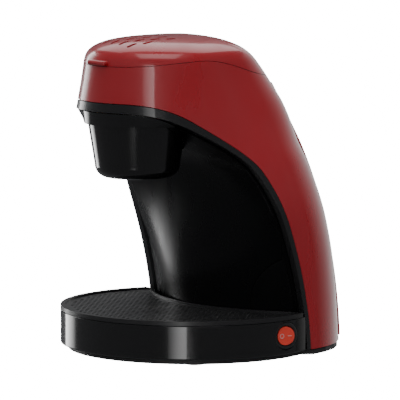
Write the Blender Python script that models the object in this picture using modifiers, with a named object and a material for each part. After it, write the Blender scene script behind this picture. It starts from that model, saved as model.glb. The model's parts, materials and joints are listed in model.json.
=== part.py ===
"""Two-cup drip coffee maker, built as an assembly of separate pieces.

Run with:  blender --background --python part.py   (Blender 4.5, metres, +Z up)

The machine stands on its feet at z = 0. Its front looks along -Y, the switch is on +X.
Plan outlines are written from the centre of the round cup plate, and every object is then
set back by PLATE_Y, so that the origin is at the middle of the footprint.
"""
import math

import bmesh
import bpy
from mathutils import Matrix, Vector

MM = 0.001

# ---- driving dimensions -------------------------------------------------------------
BASE_RADIUS = 90 * MM          # round front of the base
REAR_REACH = 103 * MM          # plate centre to the back of the back cover, at the foot
TOTAL_HEIGHT = 217.5 * MM
BODY_HALF_WIDTH = 85.5 * MM    # red shell, at the foot
HEAD_REACH = 84.6 * MM         # plate centre to the nose of the head, at the trim
HEAD_HALF_WIDTH = 52 * MM      # at the lid seam
ARCH_HEIGHT = 174.6 * MM       # underside of the red shell at the nose
ARCH_DEPTH = 101 * MM          # arch centre to its back at the foot
ARCH_Y = -67.5 * MM            # centre of the elliptical arch
SEAM_HEIGHT = 199 * MM         # lid seam at the nose
HINGE_HEIGHT = 190 * MM

# ---- walls, trims and clearances ----------------------------------------------------
GAP = 0.3 * MM                 # between touching pieces
SHELL_WALL = 2.4 * MM
TRIM_DEPTH = 5.5 * MM          # trim band, measured into the body
TRIM_WIDTH = 3.6 * MM          # trim band, as seen from the side; taller at the nose
FOOT_HEIGHT = 1.5 * MM
BOTTOM_THICKNESS = 2.4 * MM
STEP_HEIGHT = 5.1 * MM         # set-back foot of the base
STEP_INSET = 4.7 * MM
BASE_TOP = 27.9 * MM
BASE_WALL = 2.5 * MM
BASE_FLOOR = 2.4 * MM
PLATE_RIM_HEIGHT = 3 * MM
PLATE_THICKNESS = 1.6 * MM
PLATE_RIM_WIDTH = 3.4 * MM
DRAIN_HOLE = 2.6 * MM          # radius
DRAIN_PITCH = 17 * MM
TRAY_RADIUS = 66 * MM
TRAY_WALL = 1.6 * MM
WALL_THICKNESS = 2.2 * MM
WALL_BULGE = 27 * MM           # column wall, centre ahead of its edges, at the foot
BASKET_Y = -47 * MM
BASKET_TOP_RADIUS = 34 * MM
BASKET_FOOT_RADIUS = 29 * MM
BASKET_TOP = 159 * MM
BASKET_BOTTOM = 122 * MM
BASKET_CORNER = 9 * MM
BASKET_WALL = 1.8 * MM
BASKET_FLANGE = 0.7 * MM
BASKET_ROOM = 1.5 * MM         # air round the basket and the filter
SPINE_HALF_WIDTH = 45 * MM     # back cover, at the foot
SPINE_TOP_HALF_WIDTH = 38 * MM
SPINE_CROWN = 4 * MM
SPINE_DEPTH = 9 * MM
SPINE_TOP = 184 * MM
DECK_TOP = 183.5 * MM          # panel under the lid, round the tank and the filter
DECK_THICKNESS = 2 * MM
TANK_FLOOR = 62 * MM
TANK_INSET = 10 * MM           # tank wall, inside the body's outline
TANK_WALL = 2 * MM
HINGE_PIN_RADIUS = 1.2 * MM
HINGE_KNUCKLE_RADIUS = 2.9 * MM
HINGE_X = 15 * MM              # middle of each hinge
HINGE_WIDTH = 9 * MM
SWITCH_BEARING = 6.5           # degrees behind the plate's +X axis
SWITCH_FACING = -8             # its face looks a little to the front
SWITCH_SEAT = 84.6 * MM        # plate centre to the switch's flat, along its facing
SWITCH_Z = 17.6 * MM
SWITCH_DEPTH = 11 * MM
BEZEL_RADIUS = 9.2 * MM
ROCKER_RADIUS = 6.3 * MM
ROCKER_TILT = 7                # degrees to each side of its middle
GLAND_REACH = 4 * MM
GLAND_RADIUS = 4.4 * MM
GLAND_X = -22 * MM
GLAND_Z = 16 * MM
HOSE_RADIUS = 3 * MM
HEATER_Y = 48 * MM

SWITCH_TURN = (0, math.pi / 2, math.radians(SWITCH_FACING))
SCREW_PLACES = [(sx * 44 * MM, y) for sx in (-1, 1) for y in (-52 * MM, 62 * MM)]
FOOT_PLACES = [(sx * 58 * MM, y) for sx in (-1, 1) for y in (-44 * MM, 48 * MM)]
PIPE_RADIUS = 3.2 * MM
PIPE_REACH = 46 * MM           # half the length of the heater's water pipe
HEATER_TOP = 34 * MM
TANK_OUTLET_X = 55 * MM
MOUTH_SIZE = (70 * MM, 26 * MM)    # opening over the tank
MOUTH_Y = 10 * MM

PLATE_Y = (BASE_RADIUS - REAR_REACH - GLAND_REACH) / 2
PIPE_Z = HEATER_TOP + GAP + PIPE_RADIUS
BASKET_SEAT = BASKET_TOP + 2.7 * MM                      # underside of the basket's flange
BASE_BOTTOM_FLOOR = STEP_HEIGHT + 3.6 * MM + BASE_FLOOR  # top of the base's floor
HOSE_TOP = DECK_TOP - 7 * MM                             # riser hose meets the spray arm
TANK_TOP = DECK_TOP - DECK_THICKNESS - 0.5 * MM
DOME_START = TOTAL_HEIGHT - 20 * MM
NOSE_CENTRE = -36 * MM
BACK_START = -30 * MM          # depth that the back curves towards at the top
TRIM_RISE = 1.7                # trim height over trim width
RING_POINTS = 8                # points on each quarter of a plan outline
SIDE_STEPS = 24                # around turned pieces

COLLECTION = "drip_coffee_maker"

# ---- materials: name -> (colour, roughness, metallic) --------------------------------
MATERIALS = {
    "red_gloss": ((0.24, 0.010, 0.016), 0.18, 0.0),
    "black_gloss": ((0.012, 0.012, 0.013), 0.16, 0.0),
    "black_matte": ((0.020, 0.020, 0.021), 0.55, 0.0),
    "grey_plastic": ((0.20, 0.20, 0.20), 0.45, 0.0),
    "natural_plastic": ((0.55, 0.54, 0.50), 0.40, 0.0),
    "switch_red": ((0.60, 0.035, 0.018), 0.20, 0.0),
    "rubber": ((0.015, 0.015, 0.015), 0.85, 0.0),
    "silicone": ((0.62, 0.60, 0.55), 0.50, 0.0),
    "steel": ((0.56, 0.56, 0.57), 0.30, 1.0),
    "aluminium": ((0.66, 0.66, 0.67), 0.38, 1.0),
    "brass": ((0.60, 0.42, 0.16), 0.35, 1.0),
}


# ---- outlines -----------------------------------------------------------------------
def smooth(t):
    t = min(max(t, 0.0), 1.0)
    return t * t * (3 - 2 * t)


def dome(z):
    """Share of the width that is left at height z in the rounded top."""
    t = min(max((z - DOME_START) / (TOTAL_HEIGHT - DOME_START), 0.0), 1.0)
    return (1 - t ** 3.5) ** 0.5


def lean(z):
    """Quarter ellipse from 1 at the foot to 0 at the top."""
    return math.sqrt(max(1 - (z / TOTAL_HEIGHT) ** 2, 0.0))


def half_width(z):
    shoulder = smooth((z - 88 * MM) / (TOTAL_HEIGHT - 88 * MM))
    taper = (BODY_HALF_WIDTH - HEAD_HALF_WIDTH) * (0.08 * min(z / (90 * MM), 1) + 0.94 * shoulder)
    return (BODY_HALF_WIDTH - taper) * dome(z)


def widest_y(z):
    return (20 - 10 * smooth((z / MM - 60) / 70) - 30 * smooth((z / MM - 130) / 72)) * MM


def nose_y(z):
    wall = -HEAD_REACH + max(z - 165.6 * MM, 0) * 0.117
    return NOSE_CENTRE + (wall - NOSE_CENTRE) * dome(z)


def spine_y(z):
    """Back of the back cover."""
    shoulder = (max(z - 150 * MM, 0) / (65 * MM)) ** 2
    return BACK_START + (REAR_REACH - BACK_START) * lean(z) + 20 * MM * shoulder


def fender_y(z):
    """Back of the red shell: behind the ridge low down, level with the spine at the top."""
    low = BACK_START + (REAR_REACH - 3 * MM - BACK_START) * lean(z)
    blend = smooth((z / MM - 140) / 35)
    return low * (1 - blend) + spine_y(z) * blend


def plan(z, inset=0.0):
    """Right half of the body's outline at height z, from the nose round to the back."""
    level = min(z + inset * smooth((z / MM - 150) / 50), TOTAL_HEIGHT - 0.2 * MM)
    width = max(half_width(level) - inset, 1 * MM)
    nose = nose_y(level) + inset
    back = fender_y(level) - inset
    middle = min(widest_y(level), (nose + back) / 2 + 20 * MM)
    blunt = smooth((level / MM - 165) / 34)
    handle_x = width * (0.74 - 0.19 * blunt)
    handle_y = (middle - nose) * (0.415 + 0.135 * blunt)
    corners = ((0, nose), (handle_x, nose), (width, middle - handle_y), (width, middle))
    points = []
    for i in range(RING_POINTS):
        t = i / RING_POINTS
        weights = ((1 - t) ** 3, 3 * (1 - t) ** 2 * t, 3 * (1 - t) * t * t, t ** 3)
        points.append(tuple(sum(w * c[k] for w, c in zip(weights, corners)) for k in (0, 1)))
    power = 2 / (2.3 + 0.7 * smooth((level / MM - 140) / 35))
    for i in range(RING_POINTS + 1):
        angle = math.pi / 2 * i / RING_POINTS
        points.append((width * math.cos(angle) ** power if i < RING_POINTS else 0.0,
                       middle + (back - middle) * math.sin(angle) ** power))
    return points


def plan_width(y, z, inset=0.0):
    """Half width of the body at depth y and height z."""
    points = plan(z, inset)
    for (x0, y0), (x1, y1) in zip(points, points[1:]):
        if y0 <= y <= y1:
            return x0 + (x1 - x0) * (y - y0) / max(y1 - y0, 1e-9)
    return 0.0


def body_ring(z, inset=0.0):
    half = plan(z, inset)
    left = [(-x, y) for x, y in reversed(half[1:-1])]
    return [(x, y, z) for x, y in half + left]


def arch_shift(z):
    """How far the arch leaves a plain ellipse: back at the foot, forward under the head."""
    return (3 * (1 - smooth(z / (90 * MM))) - 13 * smooth((z / MM - 128) / 36)) * MM


def arch_y(z, offset=0.0):
    """Depth of the arch at height z; the offset makes the arch smaller all round."""
    height = ARCH_HEIGHT - offset * TRIM_RISE
    reach = (ARCH_DEPTH - offset) * math.sqrt(max(1 - (z / height) ** 2, 0.0))
    return ARCH_Y + reach + arch_shift(z)


def arch_outline(offset=0.0, front=-120 * MM, floor=-10 * MM):
    """Side view (y, z) of the space under the arch, open to the front."""
    depth, height = ARCH_DEPTH - offset, ARCH_HEIGHT - offset * TRIM_RISE
    curve = []
    for i in range(25):
        angle = math.pi / 2 * i / 24
        z = height * math.sin(angle)
        curve.append((ARCH_Y + depth * math.cos(angle) + arch_shift(z), z))
    return [(front, floor), (curve[0][0], floor)] + curve + [(front, height)]


def seam_z(y):
    """Height of the lid seam at depth y."""
    rise = 4 * MM * smooth((y / MM + 85) / 55)
    fall = (SEAM_HEIGHT + 4 * MM - HINGE_HEIGHT) * smooth((y / MM + 30) / 64)
    return SEAM_HEIGHT + rise - fall


def seam_outline(offset=0.0, top=260 * MM):
    """Side view (y, z) of everything above the lid seam."""
    curve = [(y * MM, seam_z(y * MM) + offset) for y in range(-110, 71, 6)]
    return [(-110 * MM, top)] + curve + [(curve[-1][0], top)]


def wall_foot_y(x, z):
    """Front face of the column wall."""
    edge_y = arch_y(z, TRIM_WIDTH + 1 * MM)
    edge_x = plan_width(edge_y, z, TRIM_DEPTH + 2 * GAP)
    bulge = WALL_BULGE * (1 - smooth((z / MM - 40) / 110))
    return edge_y - bulge * (1 - (x / edge_x) ** 2)


# ---- building blocks ----------------------------------------------------------------
def material(name):
    if name in bpy.data.materials:
        return bpy.data.materials[name]
    colour, roughness, metallic = MATERIALS[name]
    made = bpy.data.materials.new(name)
    made.use_nodes = True
    shader = made.node_tree.nodes["Principled BSDF"]
    shader.inputs["Base Color"].default_value = (*colour, 1)
    shader.inputs["Roughness"].default_value = roughness
    shader.inputs["Metallic"].default_value = metallic
    made.diffuse_color = (*colour, 1)
    return made


def collection(name):
    if name not in bpy.data.collections:
        bpy.context.scene.collection.children.link(bpy.data.collections.new(name))
    return bpy.data.collections[name]


def add(name, data, look, place=(0, 0, 0), turn=(0, 0, 0)):
    """Put a mesh or curve in the scene; place is measured from the plate's centre."""
    made = bpy.data.objects.new(name, data)
    made.location = Vector(place) + Vector((0, PLATE_Y, 0))
    made.rotation_euler = turn
    if look is None:
        collection("cutters").objects.link(made)
        made.hide_render = True
        made.display_type = "WIRE"
    else:
        collection(COLLECTION).objects.link(made)
        data.materials.append(material(look))
    return made


def mesh_from(bm, name, smooth_angle=None):
    bmesh.ops.recalc_face_normals(bm, faces=bm.faces)
    if bm.calc_volume(signed=True) < 0:
        bmesh.ops.reverse_faces(bm, faces=bm.faces)
    mesh = bpy.data.meshes.new(name)
    bm.to_mesh(mesh)
    bm.free()
    if smooth_angle:
        mesh.shade_smooth()
        mesh.set_sharp_from_angle(angle=math.radians(smooth_angle))
    return mesh


def loft(name, rings, look):
    """Closed skin over rings that all have the same number of points."""
    bm = bmesh.new()
    rows = [[bm.verts.new(point) for point in ring] for ring in rings]
    count = len(rows[0])
    for low, high in zip(rows, rows[1:]):
        for i in range(count):
            j = (i + 1) % count
            bm.faces.new((low[i], low[j], high[j], high[i]))
    bm.faces.new(list(reversed(rows[0])))
    bm.faces.new(rows[-1])
    return add(name, mesh_from(bm, name, 40), look)


def box(name, size, look, place, bevel=0.0, turn=(0, 0, 0)):
    bm = bmesh.new()
    bmesh.ops.create_cube(bm, size=1, matrix=Matrix.Diagonal((*size, 1)))
    made = add(name, mesh_from(bm, name), look, place, turn)
    if bevel:
        edge = made.modifiers.new("Bevel", "BEVEL")
        edge.width = bevel
        edge.segments = 2
    return made


def rod(name, radius, length, look, place, turn=(0, 0, 0), steps=SIDE_STEPS, tip=None):
    bm = bmesh.new()
    bmesh.ops.create_cone(bm, cap_ends=True, segments=steps, radius1=radius,
                          radius2=radius if tip is None else tip, depth=length)
    return add(name, mesh_from(bm, name, 40), look, place, turn)


def turned(name, profile, look, place=(0, 0, 0), turn=(0, 0, 0), steps=SIDE_STEPS, closed=False):
    """Turn a profile of (radius, height) points, outer side first and downward."""
    mesh = bpy.data.meshes.new(name)
    edges = [(i, i + 1) for i in range(len(profile) - 1)]
    if closed:
        edges.append((len(profile) - 1, 0))
    mesh.from_pydata([(r, 0, z) for r, z in profile], edges, [])
    made = add(name, mesh, look, place, turn)
    screw = made.modifiers.new("Screw", "SCREW")
    screw.steps = screw.render_steps = steps
    screw.use_merge_vertices = True
    screw.merge_threshold = 0.00005
    screw.use_smooth_shade = False
    return made


def flat(name, outline, thickness, look, place=(0, 0, 0), turn=(0, 0, 0), holes=()):
    """Extrude a closed outline by its thickness, centred on its own plane."""
    curve = bpy.data.curves.new(name, "CURVE")
    curve.dimensions = "2D"
    curve.fill_mode = "BOTH"
    curve.extrude = thickness / 2
    for points in (outline, *holes):
        spline = curve.splines.new("POLY")
        spline.points.add(len(points) - 1)
        for point, (x, y) in zip(spline.points, points):
            point.co = (x, y, 0, 1)
        spline.use_cyclic_u = True
    shape = bpy.data.objects.new(name + "_curve", curve)
    bpy.context.scene.collection.objects.link(shape)
    graph = bpy.context.evaluated_depsgraph_get()
    mesh = bpy.data.meshes.new_from_object(shape.evaluated_get(graph))
    bpy.data.objects.remove(shape)
    bm = bmesh.new()
    bm.from_mesh(mesh)
    bmesh.ops.remove_doubles(bm, verts=bm.verts, dist=0.00001)
    bpy.data.meshes.remove(mesh)
    return add(name, mesh_from(bm, name), look, place, turn)


SIDE_VIEW = (math.pi / 2, 0, math.pi / 2)    # turns an outline's (x, y) into (y, z)


def side_cutter(name, outline, width=240 * MM, x=0.0):
    return flat(name, outline, width, None, (x, 0, 0), SIDE_VIEW)


def tube(name, points, radius, look):
    """Pipe, hose or lead along points."""
    curve = bpy.data.curves.new(name, "CURVE")
    curve.dimensions = "3D"
    curve.bevel_depth = radius
    curve.bevel_resolution = 2
    curve.use_fill_caps = True
    spline = curve.splines.new("POLY")
    spline.points.add(len(points) - 1)
    for point, place in zip(spline.points, points):
        point.co = (*place, 1)
    return add(name, curve, look)


def smooth_path(knots, steps=5):
    """Points along a Catmull-Rom curve through the knots."""
    padded = [knots[0]] + list(knots) + [knots[-1]]
    path = []
    for a, b, c, d in zip(padded, padded[1:], padded[2:], padded[3:]):
        for i in range(steps):
            t = i / steps
            path.append(tuple(
                0.5 * (2 * q + (r - p) * t + (2 * p - 5 * q + 4 * r - s) * t * t
                       + (3 * q - p - 3 * r + s) * t ** 3)
                for p, q, r, s in zip(a, b, c, d)))
    return path + [tuple(knots[-1])]


def combine(target, tool, operation="DIFFERENCE"):
    step = target.modifiers.new(operation.title(), "BOOLEAN")
    step.operation = operation
    step.object = tool
    return target


def basket_radius(z):
    """Outer radius of the basket's straight side, at height z."""
    low = BASKET_BOTTOM + BASKET_CORNER
    slope = (BASKET_TOP_RADIUS - BASKET_FOOT_RADIUS) / (BASKET_SEAT - low)
    return BASKET_FOOT_RADIUS + slope * (z - low)


# ---- body ---------------------------------------------------------------------------
BODY_LEVELS = (5.4, 30, 60, 90, 112, 130, 146, 160, 172, 182, 190, 197.5, 203, 207.5,
               211, 214, 216.3, 217.5)


def body_solid(name, inset=0.0, floor=5.4 * MM, top=TOTAL_HEIGHT, look=None):
    """The whole body as one solid, its skin set in by an inset."""
    levels = [floor] + [z * MM for z in BODY_LEVELS if floor < z * MM < top] + [top]
    rings = []
    for z in levels:
        z -= inset * smooth((z / MM - 150) / 50)
        rings.append(body_ring(z, inset))
    return loft(name, rings, look)


def spine_ring(z, grow=0.0, front=None, beyond=0.0):
    """Outline of the back cover at height z, its back moved out by `beyond`."""
    half = SPINE_HALF_WIDTH + (SPINE_TOP_HALF_WIDTH - SPINE_HALF_WIDTH) * z / SPINE_TOP + grow
    back = spine_y(z) + grow + beyond
    side = back - SPINE_CROWN
    front = fender_y(z) - SPINE_DEPTH - grow if front is None else fender_y(z) + front
    corner = 4 * MM
    right = [(half, front), (half, side - corner), (half - 0.3 * corner, side - 0.3 * corner),
             (half - corner, side)]
    for share in (0.66, 0.33):
        x = (half - corner) * share
        right.append((x, back - SPINE_CROWN * share ** 2))
    left = [(-x, y) for x, y in reversed(right)]
    return [(x, y, z) for x, y in right + [(0, back)] + left]


SPINE_LEVELS = (5.4, 30, 60, 90, 112, 130, 146, 160, 172)


def spine_solid(name, grow=0.0, front=None, look=None, run_out=0.0, beyond=0.0):
    heights = [z * MM for z in SPINE_LEVELS] + [SPINE_TOP + max(grow, 0)]
    heights[0] -= max(grow, 0) + run_out
    heights[-1] += run_out
    return loft(name, [spine_ring(z, grow, front, beyond) for z in heights], look)


def hinge_axis():
    """Depth and height of the lid's hinge line, just outside the back."""
    return spine_y(HINGE_HEIGHT) + 0.5 * MM, HINGE_HEIGHT


def knuckles(name, side, look_cut):
    """Barrels on one side (+1 outer halves, -1 inner halves) of both hinges."""
    y, z = hinge_axis()
    made = []
    for sign in (-1, 1):
        x = sign * (HINGE_X + side * HINGE_WIDTH / 4)
        radius = HINGE_KNUCKLE_RADIUS + (0.5 * MM if look_cut else 0)
        length = HINGE_WIDTH / 2 + (0.4 * MM if look_cut else -0.4 * MM)
        made.append(rod(f"{name}_{'left' if sign < 0 else 'right'}", radius, length, None,
                        (x, y, z), (0, math.pi / 2, 0), 16))
    return made


def knuckle_arms(name, side, low, high, front, back):
    """Blocks that tie the barrels to the wall beside them."""
    y, z = hinge_axis()
    made = []
    for sign in (-1, 1):
        x = sign * (HINGE_X + side * HINGE_WIDTH / 4)
        size = (HINGE_WIDTH / 2 - 0.4 * MM, back - front, high - low)
        made.append(box(f"{name}_{'left' if sign < 0 else 'right'}", size, None,
                        (x, y + (front + back) / 2, z + (low + high) / 2)))
    return made


def pin_holes():
    y, z = hinge_axis()
    return [rod(f"pin_hole_{sign}", HINGE_PIN_RADIUS + GAP, HINGE_WIDTH + 4 * MM, None,
                (sign * HINGE_X, y, z), (0, math.pi / 2, 0), 12) for sign in (-1, 1)]


def body_shell():
    shell = body_solid("body_shell", look="red_gloss")
    combine(shell, body_solid("shell_inside", SHELL_WALL, floor=-10 * MM))
    combine(shell, side_cutter("arch_space", arch_outline(-GAP / 2)))
    combine(shell, side_cutter("above_seam", seam_outline(-GAP / 2)))
    combine(shell, spine_solid("spine_slot", GAP, beyond=8 * MM))
    for cutter in knuckles("lid_knuckle_room", -1, True):
        combine(shell, cutter)
    for piece in knuckles("shell_knuckle", 1, False):
        combine(shell, piece, "UNION")
    for piece in knuckle_arms("shell_arm", 1, -4.5 * MM, 0, -2 * MM, 1.8 * MM):
        combine(shell, piece, "UNION")
    for cutter in pin_holes():
        combine(shell, cutter)
    return shell


def back_cover():
    cover = spine_solid("back_cover", look="red_gloss")
    combine(cover, spine_solid("back_cover_inside", -SHELL_WALL, front=-20 * MM, run_out=6 * MM))
    y = spine_y(GLAND_Z)
    combine(cover, rod("gland_hole", GLAND_RADIUS + GAP, 40 * MM, None, (GLAND_X, y, GLAND_Z),
                       (math.pi / 2, 0, 0), 16))
    return cover


def vent_slots():
    """Short slots in the front half of the lid, in staggered rows."""
    bm = bmesh.new()
    for row in range(4):
        for column in range(3):
            x = (column - 1) * 15 * MM + (row % 2 - 0.5) * 7 * MM
            y = (-60 + 13 * row) * MM
            place = Matrix.Translation((x, y, TOTAL_HEIGHT - 3 * MM))
            bmesh.ops.create_cube(bm, size=1,
                                  matrix=place @ Matrix.Diagonal((2.2 * MM, 8 * MM, 16 * MM, 1)))
    return add("vent_slots", mesh_from(bm, "vent_slots"), None)


def lid():
    made = body_solid("lid", floor=150 * MM, look="red_gloss")
    combine(made, body_solid("lid_inside", SHELL_WALL, floor=140 * MM))
    combine(made, side_cutter("lid_space", seam_outline(GAP / 2)), "INTERSECT")
    for cutter in knuckles("shell_knuckle_room", 1, True):
        combine(made, cutter)
    for piece in knuckles("lid_knuckle", -1, False):
        combine(made, piece, "UNION")
    for piece in knuckle_arms("lid_arm", -1, 0.6 * MM, 6 * MM, -4.5 * MM, 0):
        combine(made, piece, "UNION")
    for cutter in pin_holes():
        combine(made, cutter)
    combine(made, vent_slots())
    lip_z = seam_z(-80 * MM) + 2.2 * MM
    lip = box("thumb_lip", (17 * MM, 9 * MM, 2.2 * MM), None,
              (0, nose_y(lip_z) + 2 * MM, lip_z), 0.8 * MM)
    return combine(made, lip, "UNION")


def hinge_pins():
    y, z = hinge_axis()
    return [rod(f"hinge_pin_{name}", HINGE_PIN_RADIUS, HINGE_WIDTH, "steel",
                (sign * HINGE_X, y, z), (0, math.pi / 2, 0), 12)
            for sign, name in ((-1, "left"), (1, "right"))]


def trim_frame():
    """Gloss band that follows the arch and runs round the bottom of the head."""
    trim = body_solid("trim_frame", top=182 * MM, look="black_gloss")
    combine(trim, body_solid("trim_inside", TRIM_DEPTH, floor=-10 * MM, top=190 * MM))
    combine(trim, side_cutter("trim_outer_edge", arch_outline(GAP / 2)), "INTERSECT")
    combine(trim, side_cutter("trim_inner_edge", arch_outline(TRIM_WIDTH)))
    return combine(trim, rod("filter_well", BASKET_TOP_RADIUS + BASKET_ROOM, 40 * MM, None,
                             (0, BASKET_Y, ARCH_HEIGHT)))


def column_wall():
    """Bowed inner wall behind the cups; it leans forward and ends under the head."""
    levels = [BASE_BOTTOM_FLOOR + GAP] + [z * MM for z in
                                          (30, 50, 70, 90, 108, 122, 134, 144, 150, 155, 158.6)]
    rings = []
    for z in levels:
        edge_y = arch_y(z, TRIM_WIDTH + 1 * MM)
        edge_x = plan_width(edge_y, z, TRIM_DEPTH + 2 * GAP)
        ahead = arch_y(z - 1 * MM, TRIM_WIDTH + 1 * MM)
        thickness = WALL_THICKNESS * math.hypot(1, (ahead - edge_y) / (1 * MM))
        xs = [edge_x * (i / 8 - 1) for i in range(17)]
        front = [(x, wall_foot_y(x, z), z) for x in xs]
        back = [(x, wall_foot_y(x, z) + thickness, z) for x in reversed(xs)]
        rings.append(front + back)
    wall = loft("column_wall", rings, "black_gloss")
    middle, half = BASKET_TOP - 12 * MM, 30 * MM
    room = rod("basket_room", basket_radius(middle - half) + BASKET_ROOM, 2 * half, None,
               (0, BASKET_Y, middle), tip=basket_radius(middle + half) + BASKET_ROOM)
    return combine(wall, room)


# ---- head ---------------------------------------------------------------------------
def round_basket(z, inset, clear):
    """Body outline that keeps clear of the basket's top."""
    ring = []
    for x, y, _ in body_ring(z, inset):
        away = math.hypot(x, y - BASKET_Y)
        push = max((BASKET_TOP_RADIUS + clear) / away, 1)
        ring.append((x * push, BASKET_Y + (y - BASKET_Y) * push, z))
    return ring


def head_underside():
    """Chamfered ring between the trim and the basket."""
    edge, rim = BASKET_TOP, ARCH_HEIGHT - 6.8 * MM
    panel = loft("head_underside", [round_basket(edge, 8.5 * MM, 2 * MM),
                                    body_ring(rim, 0.8 * MM)], "black_gloss")
    inside = loft("underside_inside", [round_basket(edge + 2.4 * MM, 9.5 * MM, 1.2 * MM),
                                       body_ring(rim + 3 * MM, 2.6 * MM)], None)
    combine(panel, inside)
    outer = BASKET_TOP_RADIUS + BASKET_FLANGE + GAP
    seat = turned("flange_seat", [(0, ARCH_HEIGHT), (outer, ARCH_HEIGHT),
                                  (outer, BASKET_SEAT - GAP),
                                  (BASKET_TOP_RADIUS + GAP, BASKET_SEAT - GAP),
                                  (BASKET_TOP_RADIUS + GAP, BASKET_BOTTOM),
                                  (0, BASKET_BOTTOM)], None, (0, BASKET_Y, 0))
    combine(panel, seat)
    return combine(panel, side_cutter("underside_edge", arch_outline(TRIM_WIDTH + GAP)),
                   "INTERSECT")


def basket_profile(inset=0.0, floor=0.0, top=BASKET_SEAT):
    """Outer side of the basket, top to bottom; the inset moves it inward."""
    foot = BASKET_FOOT_RADIUS - inset
    corner = BASKET_CORNER - inset
    low = BASKET_BOTTOM + floor
    points = [(basket_radius(top - floor + inset) - inset, top)]
    for i in range(5):
        angle = math.pi / 2 * i / 4
        points.append((foot - corner + corner * math.cos(angle),
                       low + corner - corner * math.sin(angle)))
    return points + [(0, low)]


def basket_housing():
    """Black brew basket that hangs under the head, with two outlets in its floor."""
    flange = BASKET_TOP_RADIUS + BASKET_FLANGE
    rim = BASKET_SEAT + 1.7 * MM
    outer = [(flange, rim), (flange, BASKET_SEAT)] + basket_profile()
    inner = basket_profile(BASKET_WALL, BASKET_WALL, rim)
    basket = turned("basket_housing", list(reversed(inner)) + outer, "black_gloss",
                    (0, BASKET_Y, 0))
    for sign in (-1, 1):
        combine(basket, rod(f"outlet_{sign}", 2 * MM, 10 * MM, None,
                            (sign * 10 * MM, BASKET_Y, BASKET_BOTTOM), steps=10))
    return basket


def filter_parts():
    """Lift-out filter: frame with open windows, fine mesh cup inside it, and a bail."""
    clearance = BASKET_WALL + 0.6 * MM
    wall = 1.4 * MM
    ledge = BASKET_SEAT + 2 * MM
    rim = ledge + 1.6 * MM
    outer = basket_profile(clearance, clearance + 1 * MM, ledge)
    inner = basket_profile(clearance + wall, clearance + 1 * MM + wall, rim)
    top = [(BASKET_TOP_RADIUS, rim), (BASKET_TOP_RADIUS, ledge)]
    frame = turned("filter_frame", list(reversed(inner)) + top + outer, "natural_plastic",
                   (0, BASKET_Y, 0))
    for i in range(3):
        combine(frame, box(f"filter_window_{i}", (90 * MM, 17 * MM, 19 * MM), None,
                           (0, BASKET_Y, BASKET_TOP - 13 * MM),
                           turn=(0, 0, math.radians(60 * i + 30))))
    gap = clearance + wall + 0.5 * MM
    mesh_outer = basket_profile(gap, gap + 1 * MM, BASKET_TOP)
    mesh_inner = basket_profile(gap + 0.6 * MM, gap + 1.6 * MM, BASKET_TOP)
    mesh_cup = turned("filter_mesh", list(reversed(mesh_inner)) + mesh_outer, "steel",
                      (0, BASKET_Y, 0))
    reach = BASKET_TOP_RADIUS - 2 * MM
    arc = [(reach * math.cos(math.pi * i / 12), BASKET_Y,
            rim + GAP + 11 * MM * math.sin(math.pi * i / 12)) for i in range(13)]
    bail = tube("filter_bail", arc, 0.9 * MM, "natural_plastic")
    return frame, mesh_cup, bail


def inner_deck():
    """Panel under the lid with the tank's mouth, the filter's well and the hose hole."""
    z = DECK_TOP - DECK_THICKNESS / 2
    ring = [(x, y) for x, y, _ in body_ring(z, SHELL_WALL + 3 * MM)]
    deck = flat("inner_deck", ring, DECK_THICKNESS, "black_matte", (0, 0, z))
    combine(deck, rod("well_mouth", BASKET_TOP_RADIUS + BASKET_ROOM + 0.5 * MM, 20 * MM, None,
                      (0, BASKET_Y, z)))
    combine(deck, box("tank_mouth", (*MOUTH_SIZE, 20 * MM), None, (0, MOUTH_Y, z)))
    return combine(deck, box("hose_hole", (9 * MM, 14 * MM, 20 * MM), None,
                             (0, riser_y(z) - 2 * MM, z)))


def water_tank():
    """Open-topped tank that fills the column behind the wall."""
    def solid(name, inset, arch_offset, front, floor, top, look=None):
        made = body_solid(name, inset, floor, top, look)
        combine(made, side_cutter(name + "_arch", arch_outline(arch_offset)))
        return combine(made, box(name + "_front", (200 * MM, 100 * MM, 300 * MM), None,
                                 (0, front - 50 * MM, 150 * MM)))
    tank = solid("water_tank", TANK_INSET, 0.8 * MM, -3 * MM, TANK_FLOOR, TANK_TOP,
                 "natural_plastic")
    inside = solid("tank_inside", TANK_INSET + TANK_WALL, 0.8 * MM - TANK_WALL,
                   -3 * MM + TANK_WALL, TANK_FLOOR + TANK_WALL, TANK_TOP + 8 * MM)
    combine(tank, inside)
    return combine(tank, rod("tank_outlet", 2.4 * MM, 20 * MM, None,
                             (TANK_OUTLET_X, HEATER_Y, TANK_FLOOR), steps=12))


def riser_y(z):
    """Depth of the hot water hose, between the tank and the back cover."""
    inside = spine_y(z) - SHELL_WALL - HOSE_RADIUS - 0.8 * MM
    return min(inside, fender_y(z) - 4.2 * MM)


def spray_parts():
    """Arm that brings the hot water over the filter, and its shower head."""
    level = DECK_TOP + 6.5 * MM
    y = riser_y(DECK_TOP)
    knots = [(0, riser_y(HOSE_TOP) - 0.5 * MM, HOSE_TOP + 1.5 * MM),
             (0, y - 2.5 * MM, DECK_TOP - 1 * MM), (0, y - 7.5 * MM, DECK_TOP + 4 * MM),
             (0, y - 16 * MM, level), (0, y - 30 * MM, level), (0, BASKET_Y + 16 * MM, level)]
    arm = tube("spray_arm", smooth_path(knots, 4), HOSE_RADIUS, "grey_plastic")
    radius = 13 * MM
    profile = [(0, level + 4 * MM), (radius, level + 3 * MM), (radius, level - 5 * MM),
               (radius - 1.5 * MM, level - 5 * MM), (radius - 1.5 * MM, level + 1.5 * MM),
               (0, level + 2.5 * MM)]
    head = turned("spray_head", profile, "grey_plastic", (0, BASKET_Y, 0), steps=24)
    return arm, head


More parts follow.
